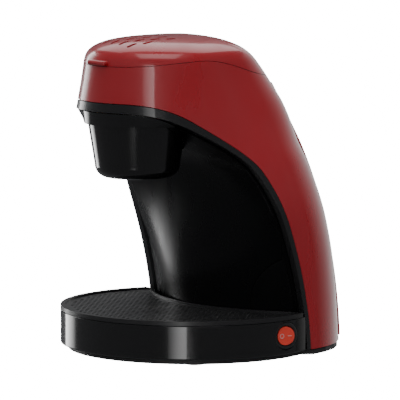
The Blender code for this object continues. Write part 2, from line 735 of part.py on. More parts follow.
# ---- base ---------------------------------------------------------------------------
def base_outline(inset):
    """Round front of the base, run into the body's outline at the back."""
    body = [(x, y) for x, y in plan(STEP_HEIGHT, inset) if y > 36 * MM]
    radius = BASE_RADIUS - STEP_INSET - inset
    angles = [math.radians(-90 + 7 * i) for i in range(17)]
    front = [(radius * math.cos(a), radius * math.sin(a)) for a in angles]
    front = [(x, y) for x, y in front if y < 32 * MM]
    half = front + body
    return half + [(-x, y) for x, y in reversed(half[1:-1])]


def switch_direction():
    angle = math.radians(SWITCH_FACING)
    return Vector((math.cos(angle), math.sin(angle), 0))


def switch_point(distance):
    """Point on the switch's axis, at a distance from the plane through the plate's centre."""
    bearing = math.radians(SWITCH_BEARING)
    facing = switch_direction()
    spot = Vector((math.cos(bearing), math.sin(bearing), 0)) * BASE_RADIUS
    spot += facing * (distance - spot.dot(facing))
    return (spot.x, spot.y, SWITCH_Z)


def switch_rod(name, radius, start, end):
    return rod(name, radius, end - start, None, switch_point((start + end) / 2),
               SWITCH_TURN)


def base_housing():
    floor_low = BASE_BOTTOM_FLOOR - BASE_FLOOR
    inner = BASE_RADIUS - BASE_WALL
    profile = [(0, BASE_BOTTOM_FLOOR), (inner, BASE_BOTTOM_FLOOR), (inner, BASE_TOP),
               (BASE_RADIUS, BASE_TOP), (BASE_RADIUS, STEP_HEIGHT), (inner, STEP_HEIGHT),
               (inner, floor_low), (0, floor_low)]
    base = turned("base_housing", profile, "black_gloss", steps=56)
    boss = switch_rod("switch_boss", BEZEL_RADIUS + 1.7 * MM, SWITCH_SEAT - 5 * MM, 95 * MM)
    disc = rod("base_disc", BASE_RADIUS - 0.02 * MM, BASE_TOP - STEP_HEIGHT, None,
               (0, 0, (BASE_TOP + STEP_HEIGHT) / 2), steps=56)
    combine(base, combine(boss, disc, "INTERSECT"), "UNION")
    combine(base, switch_rod("switch_pocket", BEZEL_RADIUS + 0.6 * MM, SWITCH_SEAT, 110 * MM))
    combine(base, switch_rod("switch_bore", ROCKER_RADIUS + 2 * MM, 60 * MM, 100 * MM))
    for x, y in SCREW_PLACES:
        post = rod("screw_post", 3.4 * MM, BASE_BOTTOM_FLOOR - STEP_HEIGHT, None,
                   (x, y, (BASE_BOTTOM_FLOOR + STEP_HEIGHT) / 2), steps=16)
        combine(base, post, "UNION")
        combine(base, rod("post_hole", 1.6 * MM, 12 * MM, None, (x, y, STEP_HEIGHT), steps=10))
    behind = [(arch_y(z * MM, TRIM_WIDTH + GAP), z * MM) for z in (-10, 0, 10, 20, 30, 40)]
    behind += [(130 * MM, 40 * MM), (130 * MM, -10 * MM)]
    keep = plan_width(arch_y(0), STEP_HEIGHT, TRIM_DEPTH + 2 * GAP) - 6 * MM
    for sign in (-1, 1):
        combine(base, side_cutter(f"trim_foot_room_{sign}", behind, 60 * MM,
                                  sign * (keep + 30 * MM)))
    return base


def bottom_cover():
    top = STEP_HEIGHT - GAP
    cover = flat("bottom_cover", base_outline(0.6 * MM), top - FOOT_HEIGHT, "black_matte",
                 (0, 0, (top + FOOT_HEIGHT) / 2))
    tail = [(x, y) for x, y, _ in spine_ring(STEP_HEIGHT, -0.6 * MM)]
    combine(cover, flat("cover_tail", tail, top - FOOT_HEIGHT, None,
                        (0, 0, (top + FOOT_HEIGHT) / 2)), "UNION")
    for x, y in SCREW_PLACES:
        combine(cover, rod("screw_pass", 2 * MM, 20 * MM, None, (x, y, 0), steps=12))
        combine(cover, rod("screw_recess", 3.6 * MM, 4 * MM, None,
                           (x, y, FOOT_HEIGHT - 0.4 * MM), steps=16))
    return cover


def feet():
    made = []
    for i, (x, y) in enumerate(FOOT_PLACES, 1):
        top = FOOT_HEIGHT - GAP
        made.append(rod(f"foot_{i}", 6 * MM, top, "rubber", (x, y, top / 2), steps=20))
    return made


def bottom_screws():
    made = []
    head_low, head_high = FOOT_HEIGHT + 0.2 * MM, FOOT_HEIGHT + 1.3 * MM
    for i, (x, y) in enumerate(SCREW_PLACES, 1):
        profile = [(0, BASE_BOTTOM_FLOOR - 2 * MM), (1.3 * MM, BASE_BOTTOM_FLOOR - 2.4 * MM),
                   (1.3 * MM, head_high), (3 * MM, head_high), (2.8 * MM, head_low),
                   (0, head_low)]
        made.append(turned(f"bottom_screw_{i}", profile, "steel", (x, y, 0), steps=12))
    return made


def cup_space_outline(radius, z, gap):
    """Round outline cut off behind by the column wall's face at height z."""
    edge_y = arch_y(z, TRIM_WIDTH) - gap
    edge_x = plan_width(arch_y(z, TRIM_WIDTH + 1 * MM), z, TRIM_DEPTH + 2 * GAP)
    xs = [edge_x * (i / 8 - 1) for i in range(17)]
    wall = [(x, wall_foot_y(x, z) - gap) for x in xs]
    wall = [(x, y) for x, y in wall if math.hypot(x, y) < radius - 0.5 * MM]
    if radius > edge_x:
        start = math.asin(edge_y / radius)
    else:
        start = math.asin(min((wall[-1][1] + 2 * MM) / radius, 0.9))
    sweep = math.pi + 2 * start
    arc = [(radius * math.cos(start - sweep * i / 40), radius * math.sin(start - sweep * i / 40))
           for i in range(41)]
    return arc + wall


def cup_plate():
    """Perforated plate that the cups stand on, with a raised rim."""
    low = BASE_TOP + GAP
    high = low + PLATE_RIM_HEIGHT
    plate = flat("cup_plate", cup_space_outline(BASE_RADIUS, high, 0.4 * MM),
                 PLATE_RIM_HEIGHT, "black_gloss", (0, 0, (low + high) / 2))
    recess = flat("plate_recess",
                  cup_space_outline(BASE_RADIUS - PLATE_RIM_WIDTH, high, 2.2 * MM),
                  4 * MM, None, (0, 0, low + PLATE_THICKNESS + 2 * MM))
    combine(plate, recess)
    bm = bmesh.new()
    for i in range(-4, 5):
        for j in range(-5, 3):
            x, y = i * DRAIN_PITCH, (j + 0.3) * DRAIN_PITCH
            limit = wall_foot_y(min(abs(x), 70 * MM), high) - 8 * MM
            if math.hypot(x, y) < BASE_RADIUS - 12 * MM and y < limit:
                bmesh.ops.create_cone(bm, cap_ends=True, segments=6, radius1=DRAIN_HOLE,
                                      radius2=DRAIN_HOLE, depth=20 * MM,
                                      matrix=Matrix.Translation((x, y, low)))
    return combine(plate, add("drain_holes", mesh_from(bm, "drain_holes"), None))


def drip_tray():
    low, high = BASE_BOTTOM_FLOOR + GAP, BASE_TOP - GAP
    tray = flat("drip_tray", cup_space_outline(TRAY_RADIUS, high, 1 * MM), high - low,
                "black_matte", (0, 0, (low + high) / 2))
    inside = flat("tray_inside", cup_space_outline(TRAY_RADIUS - TRAY_WALL, high, 1 * MM + TRAY_WALL),
                  high - low, None, (0, 0, (low + high) / 2 + TRAY_WALL))
    return combine(tray, inside)


# ---- switch -------------------------------------------------------------------------
def switch_body():
    """Round switch: a flange on the flat, and a can behind it."""
    room = ROCKER_RADIUS + 0.6 * MM
    can = ROCKER_RADIUS + 1.7 * MM
    profile = [(0, -SWITCH_DEPTH + 1.5 * MM), (room, -SWITCH_DEPTH + 1.5 * MM), (room, 1.9 * MM),
               (BEZEL_RADIUS - 0.6 * MM, 1.9 * MM), (BEZEL_RADIUS, 1.2 * MM),
               (BEZEL_RADIUS, GAP), (can, GAP), (can, -SWITCH_DEPTH), (0, -SWITCH_DEPTH)]
    return turned("switch_body", profile, "black_gloss", switch_point(SWITCH_SEAT), SWITCH_TURN,
                  steps=28)


def switch_rocker():
    """Round rocker that tips about an upright axis; its face is hollowed between the ends."""
    axis = SWITCH_SEAT - 1 * MM
    back, front = -3 * MM, 4.2 * MM
    bm = bmesh.new()
    middle = Matrix.Translation(((back + front) / 2, 0, 0)) @ Matrix.Rotation(math.pi / 2, 4, "Y")
    bmesh.ops.create_cone(bm, cap_ends=True, segments=28, radius1=ROCKER_RADIUS,
                          radius2=ROCKER_RADIUS, depth=front - back, matrix=middle)
    turn = (0, 0, math.radians(SWITCH_FACING - ROCKER_TILT))
    rocker = add("switch_rocker", mesh_from(bm, "switch_rocker", 40), "switch_red",
                 switch_point(axis), turn)
    hollow_radius = 16 * MM
    hollow = rod("rocker_hollow", hollow_radius, 20 * MM, None, switch_point(axis), steps=48)
    reach = front - 1.1 * MM + hollow_radius
    hollow.location += Matrix.Rotation(turn[2], 3, "Z") @ Vector((reach, 0, 0))
    return combine(rocker, hollow)


def switch_blades():
    """Three contact blades behind the switch."""
    made = []
    for i in range(3):
        spot = Vector(switch_point(SWITCH_SEAT - SWITCH_DEPTH - GAP - 2.5 * MM))
        spot.z += (i - 1) * 4.5 * MM
        made.append(box(f"switch_blade_{i + 1}", (5 * MM, 4.8 * MM, 0.8 * MM), "brass", spot,
                        turn=(0, 0, math.radians(SWITCH_FACING))))
    return made


# ---- heater and water path ----------------------------------------------------------
def heater_parts():
    """Flow-through heater behind the wall: cast block, steel pipe, guards and brackets."""
    top = HEATER_TOP
    block = box("heater_block", (78 * MM, 20 * MM, 14 * MM), "aluminium",
                (0, HEATER_Y, top - 7 * MM), 2 * MM)
    pipe = tube("heater_pipe", [(-PIPE_REACH, HEATER_Y, PIPE_Z), (PIPE_REACH, HEATER_Y, PIPE_Z)],
                PIPE_RADIUS, "steel")
    brackets = []
    for name, x in (("left", -28 * MM), ("right", 28 * MM)):
        low = BASE_BOTTOM_FLOOR + GAP
        high = top - 14 * MM - GAP
        brackets.append(box(f"heater_bracket_{name}", (8 * MM, 24 * MM, high - low), "steel",
                            (x, HEATER_Y, (low + high) / 2), 0.5 * MM))
    thermostat = rod("thermostat", 7.5 * MM, 6 * MM, "black_matte",
                     (0, HEATER_Y + 10 * MM + GAP + 3 * MM, top - 7.5 * MM),
                     (math.pi / 2, 0, 0), 20)
    fuses = [rod(f"thermal_fuse_{i}", 2 * MM, 15 * MM, "brass",
                 (x, HEATER_Y - 10 * MM - GAP - 2 * MM, top - 7 * MM), (0, math.pi / 2, 0), 12)
             for i, x in ((1, -18 * MM), (2, 18 * MM))]
    return block, pipe, thermostat, brackets, fuses


def hoses():
    """Cold inlet with its check valve on the right, hot riser on the left."""
    x, y = TANK_OUTLET_X, HEATER_Y
    low, high = 44 * MM, 53 * MM
    valve = rod("check_valve", 4.6 * MM, high - low, "natural_plastic",
                (x, y, (low + high) / 2), steps=16)
    upper = tube("tank_hose", [(x, y, high + GAP), (x, y, (high + TANK_FLOOR) / 2),
                               (x, y, TANK_FLOOR - GAP)], HOSE_RADIUS, "silicone")
    lower = tube("inlet_hose", smooth_path(
        [(PIPE_REACH + GAP, y, PIPE_Z), (PIPE_REACH + 3 * MM, y, PIPE_Z),
         (x - 0.7 * MM, y, PIPE_Z + 2 * MM), (x, y, low - GAP - 1.5 * MM), (x, y, low - GAP)], 3),
        HOSE_RADIUS * 0.8, "silicone")
    knots = [(-PIPE_REACH - 0.5 * MM, y, PIPE_Z), (-PIPE_REACH - 6 * MM, y + 1 * MM, PIPE_Z),
             (-PIPE_REACH - 6 * MM, y + 12 * MM, PIPE_Z + 2 * MM), (-35 * MM, 72 * MM, 44 * MM),
             (-13 * MM, 82 * MM, 51 * MM)]
    knots += [(0, riser_y(h * MM), h * MM) for h in (66, 90, 115, 140, 160)]
    knots.append((0, riser_y(HOSE_TOP), HOSE_TOP))
    riser = tube("riser_hose", smooth_path(knots, 4), HOSE_RADIUS, "silicone")
    return valve, upper, lower, riser


def cord_gland():
    """Sleeve in the back cover where the mains lead goes in."""
    bore = GLAND_RADIUS - 1 * MM
    inside = -GLAND_REACH - SPINE_CROWN * 0.3 - SHELL_WALL - 1.8 * MM
    profile = [(bore, 0), (GLAND_RADIUS - 0.3 * MM, 0), (GLAND_RADIUS, inside),
               (GLAND_RADIUS + 1.6 * MM, inside), (GLAND_RADIUS + 1.6 * MM, inside - 1.6 * MM),
               (bore, inside - 1.6 * MM)]
    return turned("cord_gland", profile, "black_matte",
                  (GLAND_X, REAR_REACH + GLAND_REACH, GLAND_Z), (-math.pi / 2, 0, 0),
                  steps=16, closed=True)


# ---- build --------------------------------------------------------------------------
def clear_scene():
    for old in list(bpy.data.objects):
        bpy.data.objects.remove(old)


def main():
    clear_scene()
    body_shell()
    back_cover()
    lid()
    hinge_pins()
    trim_frame()
    column_wall()
    head_underside()
    basket_housing()
    filter_parts()
    inner_deck()
    water_tank()
    spray_parts()
    base_housing()
    bottom_cover()
    feet()
    bottom_screws()
    cup_plate()
    drip_tray()
    switch_body()
    switch_rocker()
    switch_blades()
    heater_parts()
    hoses()
    cord_gland()


main()
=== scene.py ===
import json
import math

import bmesh
import bpy
from mathutils import Euler, Matrix, Vector


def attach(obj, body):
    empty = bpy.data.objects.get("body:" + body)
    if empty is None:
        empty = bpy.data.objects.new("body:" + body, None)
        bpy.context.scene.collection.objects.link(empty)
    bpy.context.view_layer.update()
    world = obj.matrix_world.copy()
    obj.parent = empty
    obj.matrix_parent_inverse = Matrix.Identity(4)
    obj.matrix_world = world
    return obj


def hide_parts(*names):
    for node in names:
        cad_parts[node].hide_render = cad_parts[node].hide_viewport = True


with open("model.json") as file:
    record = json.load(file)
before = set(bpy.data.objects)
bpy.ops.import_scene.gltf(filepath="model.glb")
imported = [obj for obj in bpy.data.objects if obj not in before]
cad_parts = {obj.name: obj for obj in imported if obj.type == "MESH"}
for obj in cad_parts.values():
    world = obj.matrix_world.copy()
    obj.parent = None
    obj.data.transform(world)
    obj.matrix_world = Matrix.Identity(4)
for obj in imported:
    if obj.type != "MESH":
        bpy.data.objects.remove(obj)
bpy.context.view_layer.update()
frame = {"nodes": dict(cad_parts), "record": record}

MM = 0.001

# ---- driving dimensions -------------------------------------------------------------
BASE_RADIUS = 90 * MM          # round front of the base
REAR_REACH = 103 * MM          # plate centre to the back of the back cover, at the foot
TOTAL_HEIGHT = 217.5 * MM
BODY_HALF_WIDTH = 85.5 * MM    # red shell, at the foot
HEAD_REACH = 84.6 * MM         # plate centre to the nose of the head, at the trim
HEAD_HALF_WIDTH = 52 * MM      # at the lid seam
ARCH_HEIGHT = 174.6 * MM       # underside of the red shell at the nose
ARCH_DEPTH = 101 * MM          # arch centre to its back at the foot
ARCH_Y = -67.5 * MM            # centre of the elliptical arch
SEAM_HEIGHT = 199 * MM         # lid seam at the nose
HINGE_HEIGHT = 190 * MM

# ---- walls, trims and clearances ----------------------------------------------------
GAP = 0.3 * MM                 # between touching pieces
SHELL_WALL = 2.4 * MM
TRIM_DEPTH = 5.5 * MM          # trim band, measured into the body
TRIM_WIDTH = 3.6 * MM          # trim band, as seen from the side; taller at the nose
STEP_HEIGHT = 5.1 * MM         # set-back foot of the base
BASE_TOP = 27.9 * MM
BASE_WALL = 2.5 * MM
BASE_FLOOR = 2.4 * MM
PLATE_RIM_HEIGHT = 3 * MM
PLATE_THICKNESS = 1.6 * MM
PLATE_RIM_WIDTH = 3.4 * MM
WALL_THICKNESS = 2.2 * MM
WALL_BULGE = 27 * MM           # column wall, centre ahead of its edges, at the foot
BASKET_Y = -47 * MM
BASKET_TOP_RADIUS = 34 * MM
BASKET_FOOT_RADIUS = 29 * MM
BASKET_TOP = 159 * MM
BASKET_BOTTOM = 122 * MM
BASKET_CORNER = 9 * MM
BASKET_WALL = 1.8 * MM
BASKET_FLANGE = 0.7 * MM
BASKET_ROOM = 1.5 * MM         # air round the basket and the filter
SPINE_HALF_WIDTH = 45 * MM     # back cover, at the foot
SPINE_TOP_HALF_WIDTH = 38 * MM
SPINE_CROWN = 4 * MM
SPINE_DEPTH = 9 * MM
SPINE_TOP = 184 * MM
HINGE_PIN_RADIUS = 1.2 * MM
HINGE_KNUCKLE_RADIUS = 2.9 * MM
HINGE_X = 15 * MM              # middle of each hinge
HINGE_WIDTH = 9 * MM
SWITCH_BEARING = 6.5           # degrees behind the plate's +X axis
SWITCH_FACING = -8             # its face looks a little to the front
SWITCH_SEAT = 84.6 * MM        # plate centre to the switch's flat, along its facing
SWITCH_Z = 17.6 * MM
SWITCH_DEPTH = 11 * MM
BEZEL_RADIUS = 9.2 * MM
ROCKER_RADIUS = 6.3 * MM
ROCKER_TILT = 7                # degrees to each side of its middle
GLAND_REACH = 4 * MM
GLAND_RADIUS = 4.4 * MM
GLAND_X = -22 * MM
GLAND_Z = 16 * MM

SWITCH_TURN = (0, math.pi / 2, math.radians(SWITCH_FACING))
SCREW_PLACES = [(sx * 44 * MM, y) for sx in (-1, 1) for y in (-52 * MM, 62 * MM)]

PLATE_Y = (BASE_RADIUS - REAR_REACH - GLAND_REACH) / 2
BASKET_SEAT = BASKET_TOP + 2.7 * MM                      # underside of the basket's flange
BASE_BOTTOM_FLOOR = STEP_HEIGHT + 3.6 * MM + BASE_FLOOR  # top of the base's floor
DOME_START = TOTAL_HEIGHT - 20 * MM
NOSE_CENTRE = -36 * MM
BACK_START = -30 * MM          # depth that the back curves towards at the top
TRIM_RISE = 1.7                # trim height over trim width
RING_POINTS = 44               # points on each quarter of a plan outline
SIDE_STEPS = 128               # around turned pieces

MAIN = "housing"
STRIP_WIDTH = 12 * MM          # side strip of the column wall, at the plate
STRIP_TOP = 100 * MM
HOLE_PITCH = 4.6 * MM          # drain holes of the cup plate, on a square grid
HOLE_RADIUS = 1.3 * MM
WALL_LIP = 1.6 * MM            # bowed part of the column wall, ahead of its side strips
SLOT_ROWS = 4                  # vents in the lid, every other row set half a pitch aside
SLOT_COLUMNS = 5
SLOT_PITCH = (9 * MM, 10 * MM)
SLOT_SIZE = (2.4 * MM, 8 * MM)
SLOT_FRONT = -64 * MM
LIP_SIZE = (19 * MM, 10 * MM, 3.4 * MM)    # thumb lip of the lid
KNUCKLE_PLAY = 0.4 * MM        # between the two barrels of a hinge
KNUCKLE_ROOM = 0.5 * MM        # round a barrel, in the other piece
SPINE_CORNER = 4 * MM
SPINE_RINGS = 70
MARK_OFFSET = 2.9 * MM         # each switch mark, from the rocker's middle
SHARP_ANGLE = 32               # degrees; steeper edges stay sharp
# Millimetres between the body's rings, after the height up to which they are used.
LEVEL_STEPS = ((190, 2.5), (208, 1.2), (215.5, 0.5), (217.1, 0.22), (300, 0.09))
CAMERA_SPOT = (2.2382, -1.8124, 0.4347)    # from the plate's centre
CAMERA_DROP = 0.1148           # radians below level
CAMERA_HEADING = 50.8806       # degrees
LENS_LENGTH = 380.07           # long lens, in Blender's millimetres
FLOOR_GLOW = 22.0
FLOOR_WHITENESS = 0.75         # share of the glow in what the camera sees of the floor
ROOM_LIGHT = (0.14, 0.95)      # room light in reflections and on diffuse surfaces


# ---- outlines -----------------------------------------------------------------------
def smooth(t):
    t = min(max(t, 0.0), 1.0)
    return t * t * (3 - 2 * t)


def dome(z):
    """Share of the width that is left at height z in the rounded top."""
    t = min(max((z - DOME_START) / (TOTAL_HEIGHT - DOME_START), 0.0), 1.0)
    return (1 - t ** 3.5) ** 0.5


def lean(z):
    """Quarter ellipse from 1 at the foot to 0 at the top."""
    return math.sqrt(max(1 - (z / TOTAL_HEIGHT) ** 2, 0.0))


def half_width(z):
    shoulder = smooth((z - 88 * MM) / (TOTAL_HEIGHT - 88 * MM))
    taper = (BODY_HALF_WIDTH - HEAD_HALF_WIDTH) * (0.08 * min(z / (90 * MM), 1) + 0.94 * shoulder)
    return (BODY_HALF_WIDTH - taper) * dome(z)


def widest_y(z):
    return (20 - 10 * smooth((z / MM - 60) / 70) - 30 * smooth((z / MM - 130) / 72)) * MM


def nose_y(z):
    wall = -HEAD_REACH + max(z - 165.6 * MM, 0) * 0.117
    return NOSE_CENTRE + (wall - NOSE_CENTRE) * dome(z)


def spine_y(z):
    """Back of the back cover."""
    shoulder = (max(z - 150 * MM, 0) / (65 * MM)) ** 2
    return BACK_START + (REAR_REACH - BACK_START) * lean(z) + 20 * MM * shoulder


def fender_y(z):
    """Back of the red shell: behind the ridge low down, level with the spine at the top."""
    low = BACK_START + (REAR_REACH - 3 * MM - BACK_START) * lean(z)
    blend = smooth((z / MM - 140) / 35)
    return low * (1 - blend) + spine_y(z) * blend


def crown_share(z):
    """How much of an inset counts downwards as well: none in the walls, all in the top."""
    return smooth((z / MM - 150) / 50)


def plan(z, inset=0.0):
    """Right half of the body's outline at height z, from the nose round to the back."""
    level = min(z + inset * crown_share(z), TOTAL_HEIGHT - 0.004 * MM)
    width = max(half_width(level) - inset, 1 * MM)
    nose = nose_y(level) + inset
    back = fender_y(level) - inset
    middle = min(widest_y(level), (nose + back) / 2 + 20 * MM)
    blunt = smooth((level / MM - 165) / 34)
    handle_x = width * (0.74 - 0.19 * blunt)
    handle_y = (middle - nose) * (0.415 + 0.135 * blunt)
    corners = ((0, nose), (handle_x, nose), (width, middle - handle_y), (width, middle))
    points = []
    for i in range(RING_POINTS):
        t = i / RING_POINTS
        weights = ((1 - t) ** 3, 3 * (1 - t) ** 2 * t, 3 * (1 - t) * t * t, t ** 3)
        points.append(tuple(sum(w * c[k] for w, c in zip(weights, corners)) for k in (0, 1)))
    power = 2 / (2.3 + 0.7 * smooth((level / MM - 140) / 35))
    for i in range(RING_POINTS + 1):
        angle = math.pi / 2 * i / RING_POINTS
        points.append((width * math.cos(angle) ** power if i < RING_POINTS else 0.0,
                       middle + (back - middle) * math.sin(angle) ** power))
    return points


def plan_width(y, z, inset=0.0):
    """Half width of the body at depth y and height z."""
    points = plan(z, inset)
    for (x0, y0), (x1, y1) in zip(points, points[1:]):
        if y0 <= y <= y1:
            return x0 + (x1 - x0) * (y - y0) / max(y1 - y0, 1e-9)
    return 0.0


def body_ring(z, inset=0.0):
    """The body's whole outline at height z, as points in space."""
    half = plan(z, inset)
    left = [(-x, y) for x, y in reversed(half[1:-1])]
    return [(x, y, z) for x, y in half + left]


def arch_shift(z):
    """How far the arch leaves a plain ellipse: back at the foot, forward under the head."""
    return (3 * (1 - smooth(z / (90 * MM))) - 13 * smooth((z / MM - 128) / 36)) * MM


def arch_y(z, offset=0.0):
    """Depth of the arch at height z; the offset makes the arch smaller all round."""
    height = ARCH_HEIGHT - offset * TRIM_RISE
    reach = (ARCH_DEPTH - offset) * math.sqrt(max(1 - (z / height) ** 2, 0.0))
    return ARCH_Y + reach + arch_shift(z)


def arch_outline(offset=0.0, front=-120 * MM, floor=-10 * MM):
    """Side view (y, z) of the space under the arch, open to the front."""
    depth, height = ARCH_DEPTH - offset, ARCH_HEIGHT - offset * TRIM_RISE
    curve = []
    for i in range(121):
        angle = math.pi / 2 * i / 120
        z = height * math.sin(angle)
        curve.append((ARCH_Y + depth * math.cos(angle) + arch_shift(z), z))
    return [(front, floor), (curve[0][0], floor)] + curve + [(front, height)]


def seam_z(y):
    """Height of the lid seam at depth y."""
    rise = 4 * MM * smooth((y / MM + 85) / 55)
    fall = (SEAM_HEIGHT + 4 * MM - HINGE_HEIGHT) * smooth((y / MM + 30) / 64)
    return SEAM_HEIGHT + rise - fall


def seam_outline(offset=0.0, top=260 * MM):
    """Side view (y, z) of everything above the lid seam."""
    curve = [(y * MM, seam_z(y * MM) + offset) for y in range(-110, 71)]
    return [(-110 * MM, top)] + curve + [(curve[-1][0], top)]


def wall_edge(z):
    """Depth and half width of the column wall's edges at height z."""
    edge_y = arch_y(z, TRIM_WIDTH + 1 * MM)
    return edge_y, plan_width(edge_y, z, TRIM_DEPTH + 2 * GAP)


def wall_bulge(z):
    return WALL_BULGE * (1 - smooth((z / MM - 40) / 110))


def wall_foot_y(x, z):
    """Depth of the column wall's plain bow at x and height z."""
    edge_y, edge_x = wall_edge(z)
    return edge_y - wall_bulge(z) * (1 - (x / edge_x) ** 2)


# ---- building blocks ----------------------------------------------------------------
def collection(name):
    if name not in bpy.data.collections:
        bpy.context.scene.collection.children.link(bpy.data.collections.new(name))
    return bpy.data.collections[name]


def add(name, mesh, place=(0, 0, 0), turn=(0, 0, 0)):
    """Put a mesh in the scene; place is measured from the plate's centre."""
    made = bpy.data.objects.new(name, mesh)
    spot = Matrix.Translation(Vector(place) + Vector((0, PLATE_Y, 0)))
    mesh.transform(spot @ Euler(turn).to_matrix().to_4x4())
    collection("visual").objects.link(made)
    return made


def mesh_from(bm, name):
    bmesh.ops.recalc_face_normals(bm, faces=bm.faces)
    if bm.calc_volume(signed=True) < 0:
        bmesh.ops.reverse_faces(bm, faces=bm.faces)
    mesh = bpy.data.meshes.new(name)
    bm.to_mesh(mesh)
    bm.free()
    return mesh


def loft(name, rings):
    """Closed skin over rings that all have the same number of points."""
    bm = bmesh.new()
    rows = [[bm.verts.new(point) for point in ring] for ring in rings]
    count = len(rows[0])
    for low, high in zip(rows, rows[1:]):
        for i in range(count):
            j = (i + 1) % count
            bm.faces.new((low[i], low[j], high[j], high[i]))
    bm.faces.new(list(reversed(rows[0])))
    bm.faces.new(rows[-1])
    return add(name, mesh_from(bm, name))


def box(name, size, place, round_edge=0.0):
    bm = bmesh.new()
    bmesh.ops.create_cube(bm, size=1, matrix=Matrix.Diagonal((*size, 1)))
    if round_edge:
        bmesh.ops.bevel(bm, geom=bm.edges[:], offset=round_edge, segments=4, profile=0.5,
                        affect="EDGES")
    return add(name, mesh_from(bm, name), place)


def rod(name, radius, length, place, turn=(0, 0, 0), steps=SIDE_STEPS, tip=None):
    bm = bmesh.new()
    bmesh.ops.create_cone(bm, cap_ends=True, segments=steps, radius1=radius,
                          radius2=radius if tip is None else tip, depth=length)
    return add(name, mesh_from(bm, name), place, turn)


def turned(name, profile, place=(0, 0, 0), turn=(0, 0, 0), steps=SIDE_STEPS):
    """Solid of revolution from (radius, height) points that start and end on the axis."""
    bm = bmesh.new()
    rows = []
    for radius, height in profile:
        if radius == 0:
            rows.append([bm.verts.new((0, 0, height))] * steps)
        else:
            rows.append([bm.verts.new((radius * math.cos(math.tau * i / steps),
                                       radius * math.sin(math.tau * i / steps), height))
                         for i in range(steps)])
    for upper, lower in zip(rows, rows[1:]):
        for i in range(steps):
            j = (i + 1) % steps
            corners = []
            for vert in (upper[i], lower[i], lower[j], upper[j]):
                if vert not in corners:
                    corners.append(vert)
            if len(corners) > 2:
                bm.faces.new(corners)
    return add(name, mesh_from(bm, name), place, turn)


def prism(name, outline, thickness, place=(0, 0, 0), turn=(0, 0, 0)):
    """Extrude a closed outline by its thickness, centred on its own plane."""
    bm = bmesh.new()
    rows = [[bm.verts.new((x, y, side * thickness / 2)) for x, y in outline] for side in (-1, 1)]
    count = len(outline)
    for i in range(count):
        j = (i + 1) % count
        bm.faces.new((rows[0][i], rows[0][j], rows[1][j], rows[1][i]))
    bm.faces.new(list(reversed(rows[0])))
    bm.faces.new(rows[1])
    return add(name, mesh_from(bm, name), place, turn)


def rounded_corner(a, corner, b, radius, steps=6):
    """Arc that rounds one corner of a profile."""
    corner, a, b = Vector(corner), Vector(a), Vector(b)
    start = corner + (a - corner).normalized() * radius
    end = corner + (b - corner).normalized() * radius
    return [tuple(start.lerp(corner, t).lerp(corner.lerp(end, t), t))
            for t in (i / steps for i in range(steps + 1))]


def soften(profile, radii):
    """Profile with the listed corners (index: radius) rounded."""
    points = []
    for i, point in enumerate(profile):
        if i in radii:
            points += rounded_corner(profile[i - 1], point, profile[i + 1], radii[i])
        else:
            points.append(point)
    return points


def side_cutter(name, outline, width=240 * MM, x=0.0):
    return prism(name, outline, width, (x, 0, 0), (math.pi / 2, 0, math.pi / 2))


def cut(target, tool, operation="DIFFERENCE"):
    """Boolean that is applied at once; the tool is used up."""
    step = target.modifiers.new("Boolean", "BOOLEAN")
    step.operation = operation
    step.object = tool
    step.solver = "MANIFOLD"
    graph = bpy.context.evaluated_depsgraph_get()
    mesh = bpy.data.meshes.new_from_object(target.evaluated_get(graph))
    target.modifiers.clear()
    old = target.data
    target.data = mesh
    bpy.data.meshes.remove(old)
    bpy.data.objects.remove(tool)


def finish_piece(piece, look, slot, body, *nodes):
    """Smooth shading, finish and place in the frame."""
    mesh = piece.data
    bm = bmesh.new()
    bm.from_mesh(mesh)
    bmesh.ops.remove_doubles(bm, verts=bm.verts, dist=0.002 * MM)
    bmesh.ops.dissolve_degenerate(bm, edges=bm.edges, dist=0.002 * MM)
    bm.to_mesh(mesh)
    bm.free()
    mesh.materials.clear()
    mesh.materials.append(look)
    mesh.shade_smooth()
    mesh.set_sharp_from_angle(angle=math.radians(SHARP_ANGLE))
    weighted = piece.modifiers.new("Weighted normals", "WEIGHTED_NORMAL")
    weighted.keep_sharp = True
    weighted.weight = 60
    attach(piece, body)
    if nodes:
        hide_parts(*nodes)


